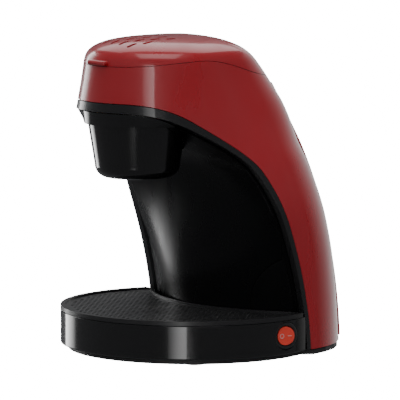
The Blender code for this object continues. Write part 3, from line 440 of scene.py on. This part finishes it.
# ---- materials ----------------------------------------------------------------------
class Look:
    """A Principled material with helpers for procedural detail."""

    def __init__(self, name):
        self.material = bpy.data.materials.new(name)
        self.material.use_nodes = True
        self.nodes = self.material.node_tree.nodes
        self.links = self.material.node_tree.links
        self.shader = self.nodes["Principled BSDF"]
        self.place = self.nodes.new("ShaderNodeTexCoord")

    def set(self, **values):
        for name, value in values.items():
            self.shader.inputs[name.replace("_", " ")].default_value = value

    def noise(self, scale, detail=3.0, stretch=(1, 1, 1)):
        mapping = self.nodes.new("ShaderNodeMapping")
        mapping.inputs["Scale"].default_value = stretch
        self.links.new(self.place.outputs["Object"], mapping.inputs["Vector"])
        texture = self.nodes.new("ShaderNodeTexNoise")
        texture.inputs["Scale"].default_value = scale
        texture.inputs["Detail"].default_value = detail
        self.links.new(mapping.outputs["Vector"], texture.inputs["Vector"])
        return texture.outputs["Fac"]

    def spread(self, fac, low, high):
        span = self.nodes.new("ShaderNodeMapRange")
        span.inputs["From Min"].default_value = 0.3
        span.inputs["From Max"].default_value = 0.7
        span.inputs["To Min"].default_value = low
        span.inputs["To Max"].default_value = high
        self.links.new(fac, span.inputs["Value"])
        return span.outputs["Result"]

    def rough(self, fac, low, high):
        self.links.new(self.spread(fac, low, high), self.shader.inputs["Roughness"])

    def tint(self, fac, dark, light):
        mix = self.nodes.new("ShaderNodeMix")
        mix.data_type = "RGBA"
        # 6 and 7 are the two colour inputs, and output 2 is the mixed colour.
        mix.inputs[6].default_value = (*dark, 1)
        mix.inputs[7].default_value = (*light, 1)
        self.links.new(self.spread(fac, 0, 1), mix.inputs[0])
        self.links.new(mix.outputs[2], self.shader.inputs["Base Color"])

    def relief(self, fac, strength, distance, edge=0.0):
        bump = self.nodes.new("ShaderNodeBump")
        bump.inputs["Strength"].default_value = strength
        bump.inputs["Distance"].default_value = distance
        self.links.new(fac, bump.inputs["Height"])
        if edge:
            bevel = self.nodes.new("ShaderNodeBevel")
            bevel.samples = 6
            bevel.inputs["Radius"].default_value = edge
            self.links.new(bevel.outputs["Normal"], bump.inputs["Normal"])
        self.links.new(bump.outputs["Normal"], self.shader.inputs["Normal"])


def gloss(name, dark, light, roughness, coat, edge=0.35 * MM, film=0.03, shine=0.5):
    """Moulded gloss plastic: slight waviness, faint handling marks in the roughness.

    The film is the roughness of its clear outer layer, the shine its specular level.
    """
    look = Look(name)
    look.tint(look.noise(9, 2), dark, light)
    look.rough(look.noise(55, 6, (1, 1, 0.35)), roughness * 0.8, roughness * 1.35)
    look.relief(look.noise(45, 2), 0.05, 0.25 * MM, edge)
    look.set(Coat_Weight=coat, Coat_Roughness=film, IOR=1.5, Specular_IOR_Level=shine)
    return look.material


def satin(name, dark, light, roughness, grain=900.0, depth=0.04, **values):
    """Matte moulded surface with a fine erosion texture."""
    look = Look(name)
    look.tint(look.noise(30, 4), dark, light)
    look.rough(look.noise(70, 4), roughness * 0.88, min(roughness * 1.12, 1))
    look.relief(look.noise(grain, 3), 0.35, depth * MM, 0.3 * MM)
    look.set(**values)
    return look.material


def metal(name, colour, roughness, stretch=(1, 1, 1), grain=700.0):
    look = Look(name)
    look.tint(look.noise(60, 4), tuple(c * 0.9 for c in colour), colour)
    look.rough(look.noise(grain, 2, stretch), roughness * 0.7, roughness * 1.4)
    look.relief(look.noise(grain, 2, stretch), 0.2, 0.03 * MM, 0.2 * MM)
    look.set(Metallic=1.0)
    return look.material


def mesh_look():
    """Fine woven steel: crossed ridges."""
    look = Look("filter_mesh")
    wave_x = look.nodes.new("ShaderNodeTexWave")
    wave_x.inputs["Scale"].default_value = 900
    look.links.new(look.place.outputs["Object"], wave_x.inputs["Vector"])
    wave_z = look.nodes.new("ShaderNodeTexWave")
    wave_z.bands_direction = "Z"
    wave_z.inputs["Scale"].default_value = 900
    look.links.new(look.place.outputs["Object"], wave_z.inputs["Vector"])
    both = look.nodes.new("ShaderNodeMath")
    both.operation = "MAXIMUM"
    look.links.new(wave_x.outputs["Fac"], both.inputs[0])
    look.links.new(wave_z.outputs["Fac"], both.inputs[1])
    look.tint(both.outputs[0], (0.12, 0.12, 0.12), (0.6, 0.6, 0.61))
    look.relief(both.outputs[0], 0.6, 0.1 * MM)
    look.set(Metallic=1.0, Roughness=0.4)
    return look.material


RED = gloss("red_gloss", (0.33, 0.002, 0.007), (0.37, 0.003, 0.009), 0.30, 0.8, film=0.09)
BLACK = gloss("black_gloss", (0.0035, 0.0035, 0.0038), (0.0048, 0.0048, 0.005), 0.16, 0.6)
WALL = gloss("black_mirror", (0.0030, 0.0030, 0.0033), (0.0040, 0.0040, 0.0043), 0.27, 0.1,
             film=0.2, shine=0.14)
PLATE = gloss("plate_black", (0.010, 0.010, 0.0105), (0.014, 0.014, 0.0145), 0.42, 0.25, film=0.2)
BEZEL = gloss("bezel_black", (0.013, 0.014, 0.014), (0.017, 0.018, 0.018), 0.32, 0.5, film=0.15)
TRIM = gloss("trim_black", (0.009, 0.009, 0.0095), (0.012, 0.012, 0.0125), 0.30, 0.5)
MATTE = satin("black_matte", (0.017, 0.017, 0.018), (0.024, 0.024, 0.025), 0.55)
GREY = satin("grey_plastic", (0.18, 0.18, 0.18), (0.22, 0.22, 0.22), 0.45)
NATURAL = satin("natural_plastic", (0.52, 0.51, 0.47), (0.60, 0.59, 0.55), 0.38, 500.0,
                Subsurface_Weight=0.15)
RUBBER = satin("rubber", (0.012, 0.012, 0.012), (0.018, 0.018, 0.018), 0.85, 600.0, 0.08)
SILICONE = satin("silicone", (0.58, 0.56, 0.51), (0.66, 0.64, 0.59), 0.5, 400.0)
STEEL = metal("steel", (0.56, 0.56, 0.57), 0.30, (1, 1, 12))
ALUMINIUM = metal("aluminium", (0.66, 0.66, 0.67), 0.42, grain=350.0)
BRASS = metal("brass", (0.60, 0.42, 0.16), 0.33, (1, 6, 1))
SWITCH = gloss("switch_red", (0.74, 0.048, 0.026), (0.80, 0.060, 0.034), 0.22, 0.8, 0.25 * MM)
MARK = gloss("switch_mark", (0.70, 0.30, 0.28), (0.74, 0.34, 0.31), 0.35, 0.4, 0.0)
MESH = mesh_look()


# ---- body ---------------------------------------------------------------------------
def body_levels(low, high):
    """Close rings in the rounded top, wider apart below it."""
    levels = [low]
    z = low
    while z < high - 0.01 * MM:
        z += next(step for top, step in LEVEL_STEPS if z < top * MM) * MM
        levels.append(min(z, high))
    return levels


def body_solid(name, inset=0.0, floor=5.4 * MM, top=TOTAL_HEIGHT):
    """The whole red body as one solid, moved in by the inset."""
    rings = []
    for z in body_levels(floor, top):
        z -= inset * crown_share(z)
        rings.append(body_ring(z, inset))
    return loft(name, rings)


def spine_ring(z, grow=0.0, front=None, beyond=0.0):
    """Outline of the back cover at height z, its back moved out by `beyond`."""
    half = SPINE_HALF_WIDTH + (SPINE_TOP_HALF_WIDTH - SPINE_HALF_WIDTH) * z / SPINE_TOP + grow
    back = spine_y(z) + grow + beyond
    side = back - SPINE_CROWN
    front = fender_y(z) - SPINE_DEPTH - grow if front is None else fender_y(z) + front
    right = [(half, front)]
    for i in range(9):
        angle = math.pi / 2 * i / 8
        right.append((half - SPINE_CORNER + SPINE_CORNER * math.cos(angle),
                      side - SPINE_CORNER + SPINE_CORNER * math.sin(angle)))
    for i in range(1, 20):
        share = 1 - i / 20
        right.append(((half - SPINE_CORNER) * share, back - SPINE_CROWN * share ** 2))
    left = [(-x, y) for x, y in reversed(right)]
    return [(x, y, z) for x, y in right + [(0, back)] + left]


def spine_solid(name, grow=0.0, front=None, low=5.4 * MM, high=None, beyond=0.0):
    high = SPINE_TOP if high is None else high
    return loft(name, [spine_ring(low + (high - low) * i / SPINE_RINGS, grow, front, beyond)
                       for i in range(SPINE_RINGS + 1)])


def hinge_axis():
    return spine_y(HINGE_HEIGHT) + 0.5 * MM, HINGE_HEIGHT


def knuckle(side, sign, room):
    """One barrel of a hinge; room is the extra space round it."""
    y, z = hinge_axis()
    x = sign * (HINGE_X + side * HINGE_WIDTH / 4)
    length = HINGE_WIDTH / 2 + (KNUCKLE_PLAY if room else -KNUCKLE_PLAY)
    return rod("knuckle", HINGE_KNUCKLE_RADIUS + room, length, (x, y, z), (0, math.pi / 2, 0), 48)


def knuckle_arm(side, sign, low, high, front, back):
    """Block that joins a barrel to its piece; its four limits are measured from the hinge."""
    y, z = hinge_axis()
    x = sign * (HINGE_X + side * HINGE_WIDTH / 4)
    return box("arm", (HINGE_WIDTH / 2 - KNUCKLE_PLAY, back - front, high - low),
               (x, y + (front + back) / 2, z + (low + high) / 2))


def pin_hole(sign):
    y, z = hinge_axis()
    return rod("pin_hole", HINGE_PIN_RADIUS + GAP, HINGE_WIDTH + 4 * MM,
               (sign * HINGE_X, y, z), (0, math.pi / 2, 0), 32)


def body_shell():
    shell = body_solid("shell_visual")
    cut(shell, body_solid("inside", SHELL_WALL, floor=-10 * MM))
    cut(shell, side_cutter("arch", arch_outline(-GAP / 2)))
    cut(shell, side_cutter("seam", seam_outline(-GAP / 2)))
    cut(shell, spine_solid("slot", GAP, low=5 * MM, high=SPINE_TOP + GAP, beyond=8 * MM))
    for sign in (-1, 1):
        cut(shell, knuckle(-1, sign, KNUCKLE_ROOM))
        cut(shell, knuckle(1, sign, 0), "UNION")
        cut(shell, knuckle_arm(1, sign, -4.5 * MM, 0, -2 * MM, 1.8 * MM), "UNION")
        cut(shell, pin_hole(sign))
    finish_piece(shell, RED, "red_gloss", MAIN, "body_shell")


def back_cover():
    cover = spine_solid("back_cover_visual")
    cut(cover, spine_solid("inside", -SHELL_WALL, -20 * MM, -2 * MM, SPINE_TOP - SHELL_WALL))
    cut(cover, rod("gland_hole", GLAND_RADIUS + GAP, 40 * MM, (GLAND_X, spine_y(GLAND_Z), GLAND_Z),
                   (math.pi / 2, 0, 0)))
    finish_piece(cover, RED, "red_gloss", MAIN, "back_cover")


def slot_cutter(x, y):
    width, length = SLOT_SIZE
    half = (length - width) / 2
    outline = [(width / 2 * math.cos(a), (half if a < math.pi else -half) + width / 2 * math.sin(a))
               for a in (math.tau * i / 24 for i in range(24))]
    return prism("slot", outline, 16 * MM, (x, y, TOTAL_HEIGHT - 3 * MM))


def lid():
    made = body_solid("lid_visual", floor=150 * MM)
    cut(made, body_solid("inside", SHELL_WALL, floor=140 * MM))
    cut(made, side_cutter("above", seam_outline(GAP / 2)), "INTERSECT")
    for sign in (-1, 1):
        cut(made, knuckle(1, sign, KNUCKLE_ROOM))
        cut(made, knuckle(-1, sign, 0), "UNION")
        cut(made, knuckle_arm(-1, sign, 0.6 * MM, 6 * MM, -4.5 * MM, 0), "UNION")
        cut(made, pin_hole(sign))
    for row in range(SLOT_ROWS):
        for column in range(SLOT_COLUMNS):
            x = (column - (SLOT_COLUMNS - 1) / 2 + (row % 2 - 0.5) / 2) * SLOT_PITCH[0]
            cut(made, slot_cutter(x, SLOT_FRONT + SLOT_PITCH[1] * row))
    z = seam_z(-80 * MM) + 2.2 * MM
    cut(made, box("lip", LIP_SIZE, (0, nose_y(z) + 2.2 * MM, z), 1.6 * MM), "UNION")
    finish_piece(made, RED, "red_gloss", "lid", "lid")


def trim_frame():
    trim = body_solid("trim_visual", top=182 * MM)
    cut(trim, body_solid("inside", TRIM_DEPTH, floor=-10 * MM, top=190 * MM))
    cut(trim, side_cutter("outer", arch_outline(GAP / 2)), "INTERSECT")
    cut(trim, side_cutter("inner", arch_outline(TRIM_WIDTH)))
    cut(trim, rod("well", BASKET_TOP_RADIUS + BASKET_ROOM, 40 * MM, (0, BASKET_Y, ARCH_HEIGHT)))
    finish_piece(trim, TRIM, "black_gloss", MAIN, "trim_frame")


def column_wall():
    """Bowed wall with an upright side strip that widens towards the plate."""
    low, high = BASE_BOTTOM_FLOOR + GAP, 158.6 * MM
    rings = []
    for k in range(81):
        z = low + (high - low) * k / 80
        edge_y, edge_x = wall_edge(z)
        ahead = arch_y(z - 1 * MM, TRIM_WIDTH + 1 * MM)
        thickness = WALL_THICKNESS * math.hypot(1, (ahead - edge_y) / (1 * MM))
        strip = STRIP_WIDTH * (1 - smooth((z - BASE_TOP) / (STRIP_TOP - BASE_TOP)))
        inner = edge_x - strip
        lip = WALL_LIP * strip / STRIP_WIDTH
        xs = [inner * (i / 30 - 1) for i in range(61)]
        front = [(-edge_x, edge_y, z), (-inner - 0.02 * MM, edge_y, z)]
        for x in xs:
            front.append((x, edge_y - wall_bulge(z) * (1 - (x / inner) ** 2) - lip, z))
        front += [(inner + 0.02 * MM, edge_y, z), (edge_x, edge_y, z)]
        back = [(x, wall_foot_y(x, z) + thickness, z) for x, _, _ in reversed(front)]
        rings.append(front + back)
    wall = loft("wall_visual", rings)
    middle, half = BASKET_TOP - 12 * MM, 30 * MM
    cut(wall, rod("room", basket_radius(middle - half) + BASKET_ROOM, 2 * half,
                  (0, BASKET_Y, middle), tip=basket_radius(middle + half) + BASKET_ROOM))
    finish_piece(wall, WALL, "black_gloss", MAIN, "column_wall")


# ---- head ---------------------------------------------------------------------------
def basket_radius(z):
    low = BASKET_BOTTOM + BASKET_CORNER
    slope = (BASKET_TOP_RADIUS - BASKET_FOOT_RADIUS) / (BASKET_SEAT - low)
    return BASKET_FOOT_RADIUS + slope * (z - low)


def round_basket(z, inset, clear):
    """Body ring pushed out where needed to stay clear of the basket."""
    ring = []
    for x, y, _ in body_ring(z, inset):
        away = math.hypot(x, y - BASKET_Y)
        push = max((BASKET_TOP_RADIUS + clear) / away, 1)
        ring.append((x * push, BASKET_Y + (y - BASKET_Y) * push, z))
    return ring


def head_underside():
    edge, rim = BASKET_TOP, ARCH_HEIGHT - 6.8 * MM
    panel = loft("underside_visual", [round_basket(edge, 8.5 * MM, 2 * MM),
                                      body_ring(rim, 0.8 * MM)])
    cut(panel, loft("inside", [round_basket(edge + 2.4 * MM, 9.5 * MM, 1.2 * MM),
                               body_ring(rim + 3 * MM, 2.6 * MM)]))
    outer = BASKET_TOP_RADIUS + BASKET_FLANGE + GAP
    cut(panel, turned("seat", [(0, ARCH_HEIGHT), (outer, ARCH_HEIGHT), (outer, BASKET_SEAT - GAP),
                               (BASKET_TOP_RADIUS + GAP, BASKET_SEAT - GAP),
                               (BASKET_TOP_RADIUS + GAP, BASKET_BOTTOM), (0, BASKET_BOTTOM)],
                      (0, BASKET_Y, 0)))
    cut(panel, side_cutter("edge", arch_outline(TRIM_WIDTH + GAP)), "INTERSECT")
    finish_piece(panel, BLACK, "black_gloss", MAIN, "head_underside")


def basket_profile(inset=0.0, floor=0.0, top=None):
    """Basket wall from the top down to its axis, moved in by the inset and up by the floor."""
    top = BASKET_SEAT if top is None else top
    foot = BASKET_FOOT_RADIUS - inset
    corner = BASKET_CORNER - inset
    low = BASKET_BOTTOM + floor
    points = [(basket_radius(top - floor + inset) - inset, top)]
    for i in range(13):
        angle = math.pi / 2 * i / 12
        points.append((foot - corner + corner * math.cos(angle),
                       low + corner - corner * math.sin(angle)))
    return points + [(0, low)]


def basket_housing():
    flange = BASKET_TOP_RADIUS + BASKET_FLANGE
    rim = BASKET_SEAT + 1.7 * MM
    inner = basket_profile(BASKET_WALL, BASKET_WALL, rim)
    basket = turned("basket_visual", list(reversed(inner)) + [(flange, rim), (flange, BASKET_SEAT)]
                    + basket_profile(), (0, BASKET_Y, 0))
    for sign in (-1, 1):
        cut(basket, rod("outlet", 2 * MM, 10 * MM, (sign * 10 * MM, BASKET_Y, BASKET_BOTTOM),
                        steps=32))
    finish_piece(basket, BLACK, "black_gloss", MAIN, "basket_housing")


# ---- base ---------------------------------------------------------------------------
def switch_direction():
    angle = math.radians(SWITCH_FACING)
    return Vector((math.cos(angle), math.sin(angle), 0))


def switch_point(distance):
    bearing = math.radians(SWITCH_BEARING)
    facing = switch_direction()
    spot = Vector((math.cos(bearing), math.sin(bearing), 0)) * BASE_RADIUS
    spot += facing * (distance - spot.dot(facing))
    return (spot.x, spot.y, SWITCH_Z)


def switch_rod(name, radius, start, end):
    return rod(name, radius, end - start, switch_point((start + end) / 2), SWITCH_TURN)


def base_housing():
    floor_low = BASE_BOTTOM_FLOOR - BASE_FLOOR
    inner = BASE_RADIUS - BASE_WALL
    profile = [(0, BASE_BOTTOM_FLOOR), (inner, BASE_BOTTOM_FLOOR), (inner, BASE_TOP),
               (BASE_RADIUS, BASE_TOP), (BASE_RADIUS, STEP_HEIGHT), (inner, STEP_HEIGHT),
               (inner, floor_low), (0, floor_low)]
    profile = soften(profile, {3: 0.5 * MM, 4: 0.9 * MM})
    base = turned("base_visual", profile, steps=256)
    boss = switch_rod("boss", BEZEL_RADIUS + 1.7 * MM, SWITCH_SEAT - 5 * MM, 95 * MM)
    cut(boss, rod("disc", BASE_RADIUS - 0.3 * MM, BASE_TOP - STEP_HEIGHT - 0.4 * MM,
                  (0, 0, (BASE_TOP + STEP_HEIGHT) / 2), steps=256), "INTERSECT")
    cut(base, boss, "UNION")
    cut(base, switch_rod("pocket", BEZEL_RADIUS + 0.6 * MM, SWITCH_SEAT, 110 * MM))
    cut(base, switch_rod("bore", ROCKER_RADIUS + 2 * MM, 60 * MM, 100 * MM))
    for x, y in SCREW_PLACES:
        cut(base, rod("post", 3.4 * MM, BASE_BOTTOM_FLOOR - STEP_HEIGHT,
                      (x, y, (BASE_BOTTOM_FLOOR + STEP_HEIGHT) / 2 - 0.01 * MM), steps=40), "UNION")
        cut(base, rod("post_hole", 1.6 * MM, 12 * MM, (x, y, STEP_HEIGHT), steps=24))
    behind = [(arch_y(z * MM, TRIM_WIDTH + GAP), z * MM) for z in range(-10, 41, 2)]
    behind += [(130 * MM, 40 * MM), (130 * MM, -10 * MM)]
    keep = plan_width(arch_y(0), STEP_HEIGHT, TRIM_DEPTH + 2 * GAP) - 6 * MM
    for sign in (-1, 1):
        cut(base, side_cutter("room", behind, 60 * MM, sign * (keep + 30 * MM)))
    finish_piece(base, BLACK, "black_gloss", MAIN, "base_housing")


def cup_space_outline(radius, z, gap):
    """Round outline cut off behind by the column wall's face at height z."""
    edge_y = arch_y(z, TRIM_WIDTH) - gap
    edge_x = wall_edge(z)[1]
    xs = [edge_x * (i / 40 - 1) for i in range(81)]
    wall = [(x, wall_foot_y(x, z) - gap) for x in xs]
    wall = [(x, y) for x, y in wall if math.hypot(x, y) < radius - 0.5 * MM]
    if radius > edge_x:
        start = math.asin(edge_y / radius)
    else:
        start = math.asin(min((wall[-1][1] + 2 * MM) / radius, 0.9))
    sweep = math.pi + 2 * start
    arc = [(radius * math.cos(start - sweep * i / 200), radius * math.sin(start - sweep * i / 200))
           for i in range(201)]
    return arc + wall


def cup_plate():
    """Raised rim round a field of small drain holes."""
    low = BASE_TOP + GAP
    high = low + PLATE_RIM_HEIGHT
    plate = prism("plate_visual", cup_space_outline(BASE_RADIUS, high, 2.2 * MM),
                  PLATE_RIM_HEIGHT, (0, 0, (low + high) / 2))
    cut(plate, prism("recess", cup_space_outline(BASE_RADIUS - PLATE_RIM_WIDTH, high, 4 * MM),
                     4 * MM, (0, 0, low + PLATE_THICKNESS + 2 * MM)))
    bm = bmesh.new()
    for i in range(-17, 18):
        for j in range(-17, 12):
            x, y = i * HOLE_PITCH, j * HOLE_PITCH
            limit = wall_foot_y(min(abs(x), 70 * MM), high) - 8 * MM
            if math.hypot(x, y) < BASE_RADIUS - 8 * MM and y < limit:
                bmesh.ops.create_cone(bm, cap_ends=True, segments=12, radius1=HOLE_RADIUS,
                                      radius2=HOLE_RADIUS, depth=20 * MM,
                                      matrix=Matrix.Translation((x, y, low)))
    cut(plate, add("holes", mesh_from(bm, "holes")))
    finish_piece(plate, PLATE, "black_gloss", "cup_plate", "cup_plate")


# ---- switch -------------------------------------------------------------------------
def switch_body():
    room = ROCKER_RADIUS + 0.6 * MM
    can = ROCKER_RADIUS + 1.7 * MM
    profile = [(0, -SWITCH_DEPTH + 1.5 * MM), (room, -SWITCH_DEPTH + 1.5 * MM), (room, 1.9 * MM),
               (BEZEL_RADIUS, 1.9 * MM), (BEZEL_RADIUS, GAP), (can, GAP), (can, -SWITCH_DEPTH),
               (0, -SWITCH_DEPTH)]
    profile = soften(profile, {2: 0.4 * MM, 3: 0.8 * MM})
    made = turned("bezel_visual", profile, switch_point(SWITCH_SEAT), SWITCH_TURN, 96)
    finish_piece(made, BEZEL, "black_gloss", MAIN, "switch_body")


def switch_rocker():
    """Round rocker, its face hollowed between the ends, with generic on and off marks."""
    axis = SWITCH_SEAT - 1 * MM
    back, front = -3 * MM, 4.2 * MM
    turn = (0, 0, math.radians(SWITCH_FACING - ROCKER_TILT))
    lean_over = Matrix.Rotation(turn[2], 3, "Z")
    spot = Vector(switch_point(axis))
    profile = soften([(0, front), (ROCKER_RADIUS, front), (ROCKER_RADIUS, back), (0, back)],
                     {1: 0.5 * MM})
    rocker = turned("rocker_visual", profile, spot, (0, math.pi / 2, turn[2]), 96)
    hollow_radius = 16 * MM
    reach = front - 1.1 * MM + hollow_radius
    hollow = rod("hollow", hollow_radius, 20 * MM, spot + lean_over @ Vector((reach, 0, 0)),
                 steps=256)
    cut(rocker, hollow)
    finish_piece(rocker, SWITCH, "switch_red", "rocker", "switch_rocker")

    def depth(y):
        return reach - math.sqrt(hollow_radius ** 2 - y ** 2)

    marks = [turned("mark_off", [(0, 0.3 * MM), (1.75 * MM, 0.3 * MM), (1.75 * MM, -0.6 * MM),
                                 (0, -0.6 * MM)], turn=(0, math.pi / 2, 0), steps=48),
             box("mark_on", (0.9 * MM, 2.7 * MM, 0.55 * MM), (-0.15 * MM, 0, 0))]
    cut(marks[0], rod("inside", 1.2 * MM, 4 * MM, (0, 0, 0), (0, math.pi / 2, 0), 48))
    for mark, y in zip(marks, (-MARK_OFFSET, MARK_OFFSET)):
        tip = (lean_over.to_4x4() @ Matrix.Translation((depth(y), y, 0))
               @ Matrix.Rotation(-math.asin(y / hollow_radius), 4, "Z"))
        back_to_frame = Matrix.Translation((0, -PLATE_Y, 0))
        mark.data.transform(Matrix.Translation(spot + Vector((0, PLATE_Y, 0))) @ tip
                            @ back_to_frame)
        finish_piece(mark, MARK, "switch_red", "rocker")


# ---- CAD pieces that are shown as they are ------------------------------------------
def dress_nodes():
    """Give each CAD node the look of its slot; the ones without a visual piece stay in view."""
    looks = {"black_matte": MATTE, "grey_plastic": GREY, "natural_plastic": NATURAL,
             "rubber": RUBBER, "silicone": SILICONE, "steel": STEEL, "aluminium": ALUMINIUM,
             "brass": BRASS, "black_gloss": BLACK, "red_gloss": RED, "switch_red": SWITCH}
    slots = {part["node"]: part["material_slot"] for part in frame["record"]["subparts"]}
    for name, node in frame["nodes"].items():
        node.data.materials.clear()
        node.data.materials.append(looks[slots[name]])
        if name == "filter_mesh":
            node.data.materials[0] = MESH


# ---- studio -------------------------------------------------------------------------
def camera():
    lens = bpy.data.cameras.new("camera")
    lens.lens = LENS_LENGTH
    lens.clip_end = 20
    view = bpy.data.objects.new("camera", lens)
    view.location = Vector(CAMERA_SPOT) + Vector((0, PLATE_Y, 0))
    view.rotation_euler = (math.pi / 2 - CAMERA_DROP, 0, math.radians(CAMERA_HEADING))
    bpy.context.scene.collection.objects.link(view)
    bpy.context.scene.camera = view


def softbox(name, azimuth, elevation, distance, width, height, strength, fade=(1, 1)):
    """Glowing panel aimed at the machine; fade is its brightness at the left and right end."""
    mesh = bpy.data.meshes.new(name)
    mesh.from_pydata([(-width / 2, -height / 2, 0), (width / 2, -height / 2, 0),
                      (width / 2, height / 2, 0), (-width / 2, height / 2, 0)], [], [(0, 1, 2, 3)])
    made = bpy.data.objects.new(name, mesh)
    a, e = math.radians(azimuth), math.radians(elevation)
    away = Vector((math.cos(a) * math.cos(e), math.sin(a) * math.cos(e), math.sin(e)))
    made.location = away * distance + Vector((0, 0, 0.1))
    made.rotation_euler = away.to_track_quat("Z", "Y").to_euler()
    made.visible_camera = False
    glow = bpy.data.materials.new(name)
    glow.use_nodes = True
    nodes, links = glow.node_tree.nodes, glow.node_tree.links
    nodes.remove(nodes["Principled BSDF"])
    light = nodes.new("ShaderNodeEmission")
    place = nodes.new("ShaderNodeTexCoord")
    split = nodes.new("ShaderNodeSeparateXYZ")
    span = nodes.new("ShaderNodeMapRange")
    span.inputs["From Min"].default_value = -width / 2
    span.inputs["From Max"].default_value = width / 2
    span.inputs["To Min"].default_value = strength * fade[0]
    span.inputs["To Max"].default_value = strength * fade[1]
    front = nodes.new("ShaderNodeNewGeometry")
    only = nodes.new("ShaderNodeMath")
    only.operation = "MULTIPLY"
    links.new(place.outputs["Object"], split.inputs[0])
    links.new(split.outputs["X"], span.inputs["Value"])
    links.new(span.outputs["Result"], only.inputs[0])
    links.new(front.outputs["Backfacing"], only.inputs[1])
    links.new(only.outputs[0], light.inputs["Strength"])
    links.new(light.outputs[0], nodes["Material Output"].inputs["Surface"])
    mesh.materials.append(glow)
    bpy.context.scene.collection.objects.link(made)


def studio():
    """Softboxes on both sides, in front and above, in a dim room."""
    softbox("left_strip", 190, 8, 1.6, 0.65, 1.2, 7, (1.0, 0.05))
    softbox("front_strip", -51, 0, 3.0, 0.84, 2.2, 5, (0.1, 1.0))
    softbox("right_strip", 96, 8, 1.6, 2.1, 1.3, 1.1, (0.05, 1.0))
    softbox("top_back", 141, 55, 1.6, 1.8, 1.3, 1.7)
    softbox("overhead", -39, 70, 2.2, 1.5, 1.3, 2.2)
    world = bpy.data.worlds.new("studio")
    bpy.context.scene.world = world
    world.use_nodes = True
    room = world.node_tree.nodes["Background"]
    room.inputs["Color"].default_value = (0.95, 0.96, 1.0, 1)
    fill = world.node_tree.nodes.new("ShaderNodeMapRange")
    fill.inputs["To Min"].default_value, fill.inputs["To Max"].default_value = ROOM_LIGHT
    path = world.node_tree.nodes.new("ShaderNodeLightPath")
    world.node_tree.links.new(path.outputs["Is Diffuse Ray"], fill.inputs["Value"])
    world.node_tree.links.new(fill.outputs["Result"], room.inputs["Strength"])


def floor():
    """Plain white to the camera, dim in diffuse light and left out of reflections."""
    mesh = bpy.data.meshes.new("floor")
    mesh.from_pydata([(-9, -9, 0), (9, -9, 0), (9, 9, 0), (-9, 9, 0)], [], [(0, 1, 2, 3)])
    made = bpy.data.objects.new("floor", mesh)
    made.location.z = -0.05 * MM
    made.visible_glossy = False
    paper = bpy.data.materials.new("paper")
    paper.use_nodes = True
    nodes, links = paper.node_tree.nodes, paper.node_tree.links
    lit = nodes["Principled BSDF"]
    lit.inputs["Base Color"].default_value = (0.9, 0.9, 0.9, 1)
    lit.inputs["Roughness"].default_value = 0.7
    glow = nodes.new("ShaderNodeEmission")
    glow.inputs["Strength"].default_value = FLOOR_GLOW
    dim = nodes.new("ShaderNodeBsdfDiffuse")
    dim.inputs["Color"].default_value = (0.10, 0.10, 0.10, 1)
    seen = nodes.new("ShaderNodeMixShader")
    seen.inputs[0].default_value = FLOOR_WHITENESS
    path = nodes.new("ShaderNodeLightPath")
    both = nodes.new("ShaderNodeMixShader")
    links.new(lit.outputs[0], seen.inputs[1])
    links.new(glow.outputs[0], seen.inputs[2])
    links.new(path.outputs["Is Camera Ray"], both.inputs[0])
    links.new(dim.outputs[0], both.inputs[1])
    links.new(seen.outputs[0], both.inputs[2])
    links.new(both.outputs[0], nodes["Material Output"].inputs["Surface"])
    mesh.materials.append(paper)
    bpy.context.scene.collection.objects.link(made)


def main():
    dress_nodes()
    body_shell()
    back_cover()
    lid()
    trim_frame()
    column_wall()
    head_underside()
    basket_housing()
    base_housing()
    cup_plate()
    switch_body()
    switch_rocker()
    camera()
    studio()
    floor()


main()
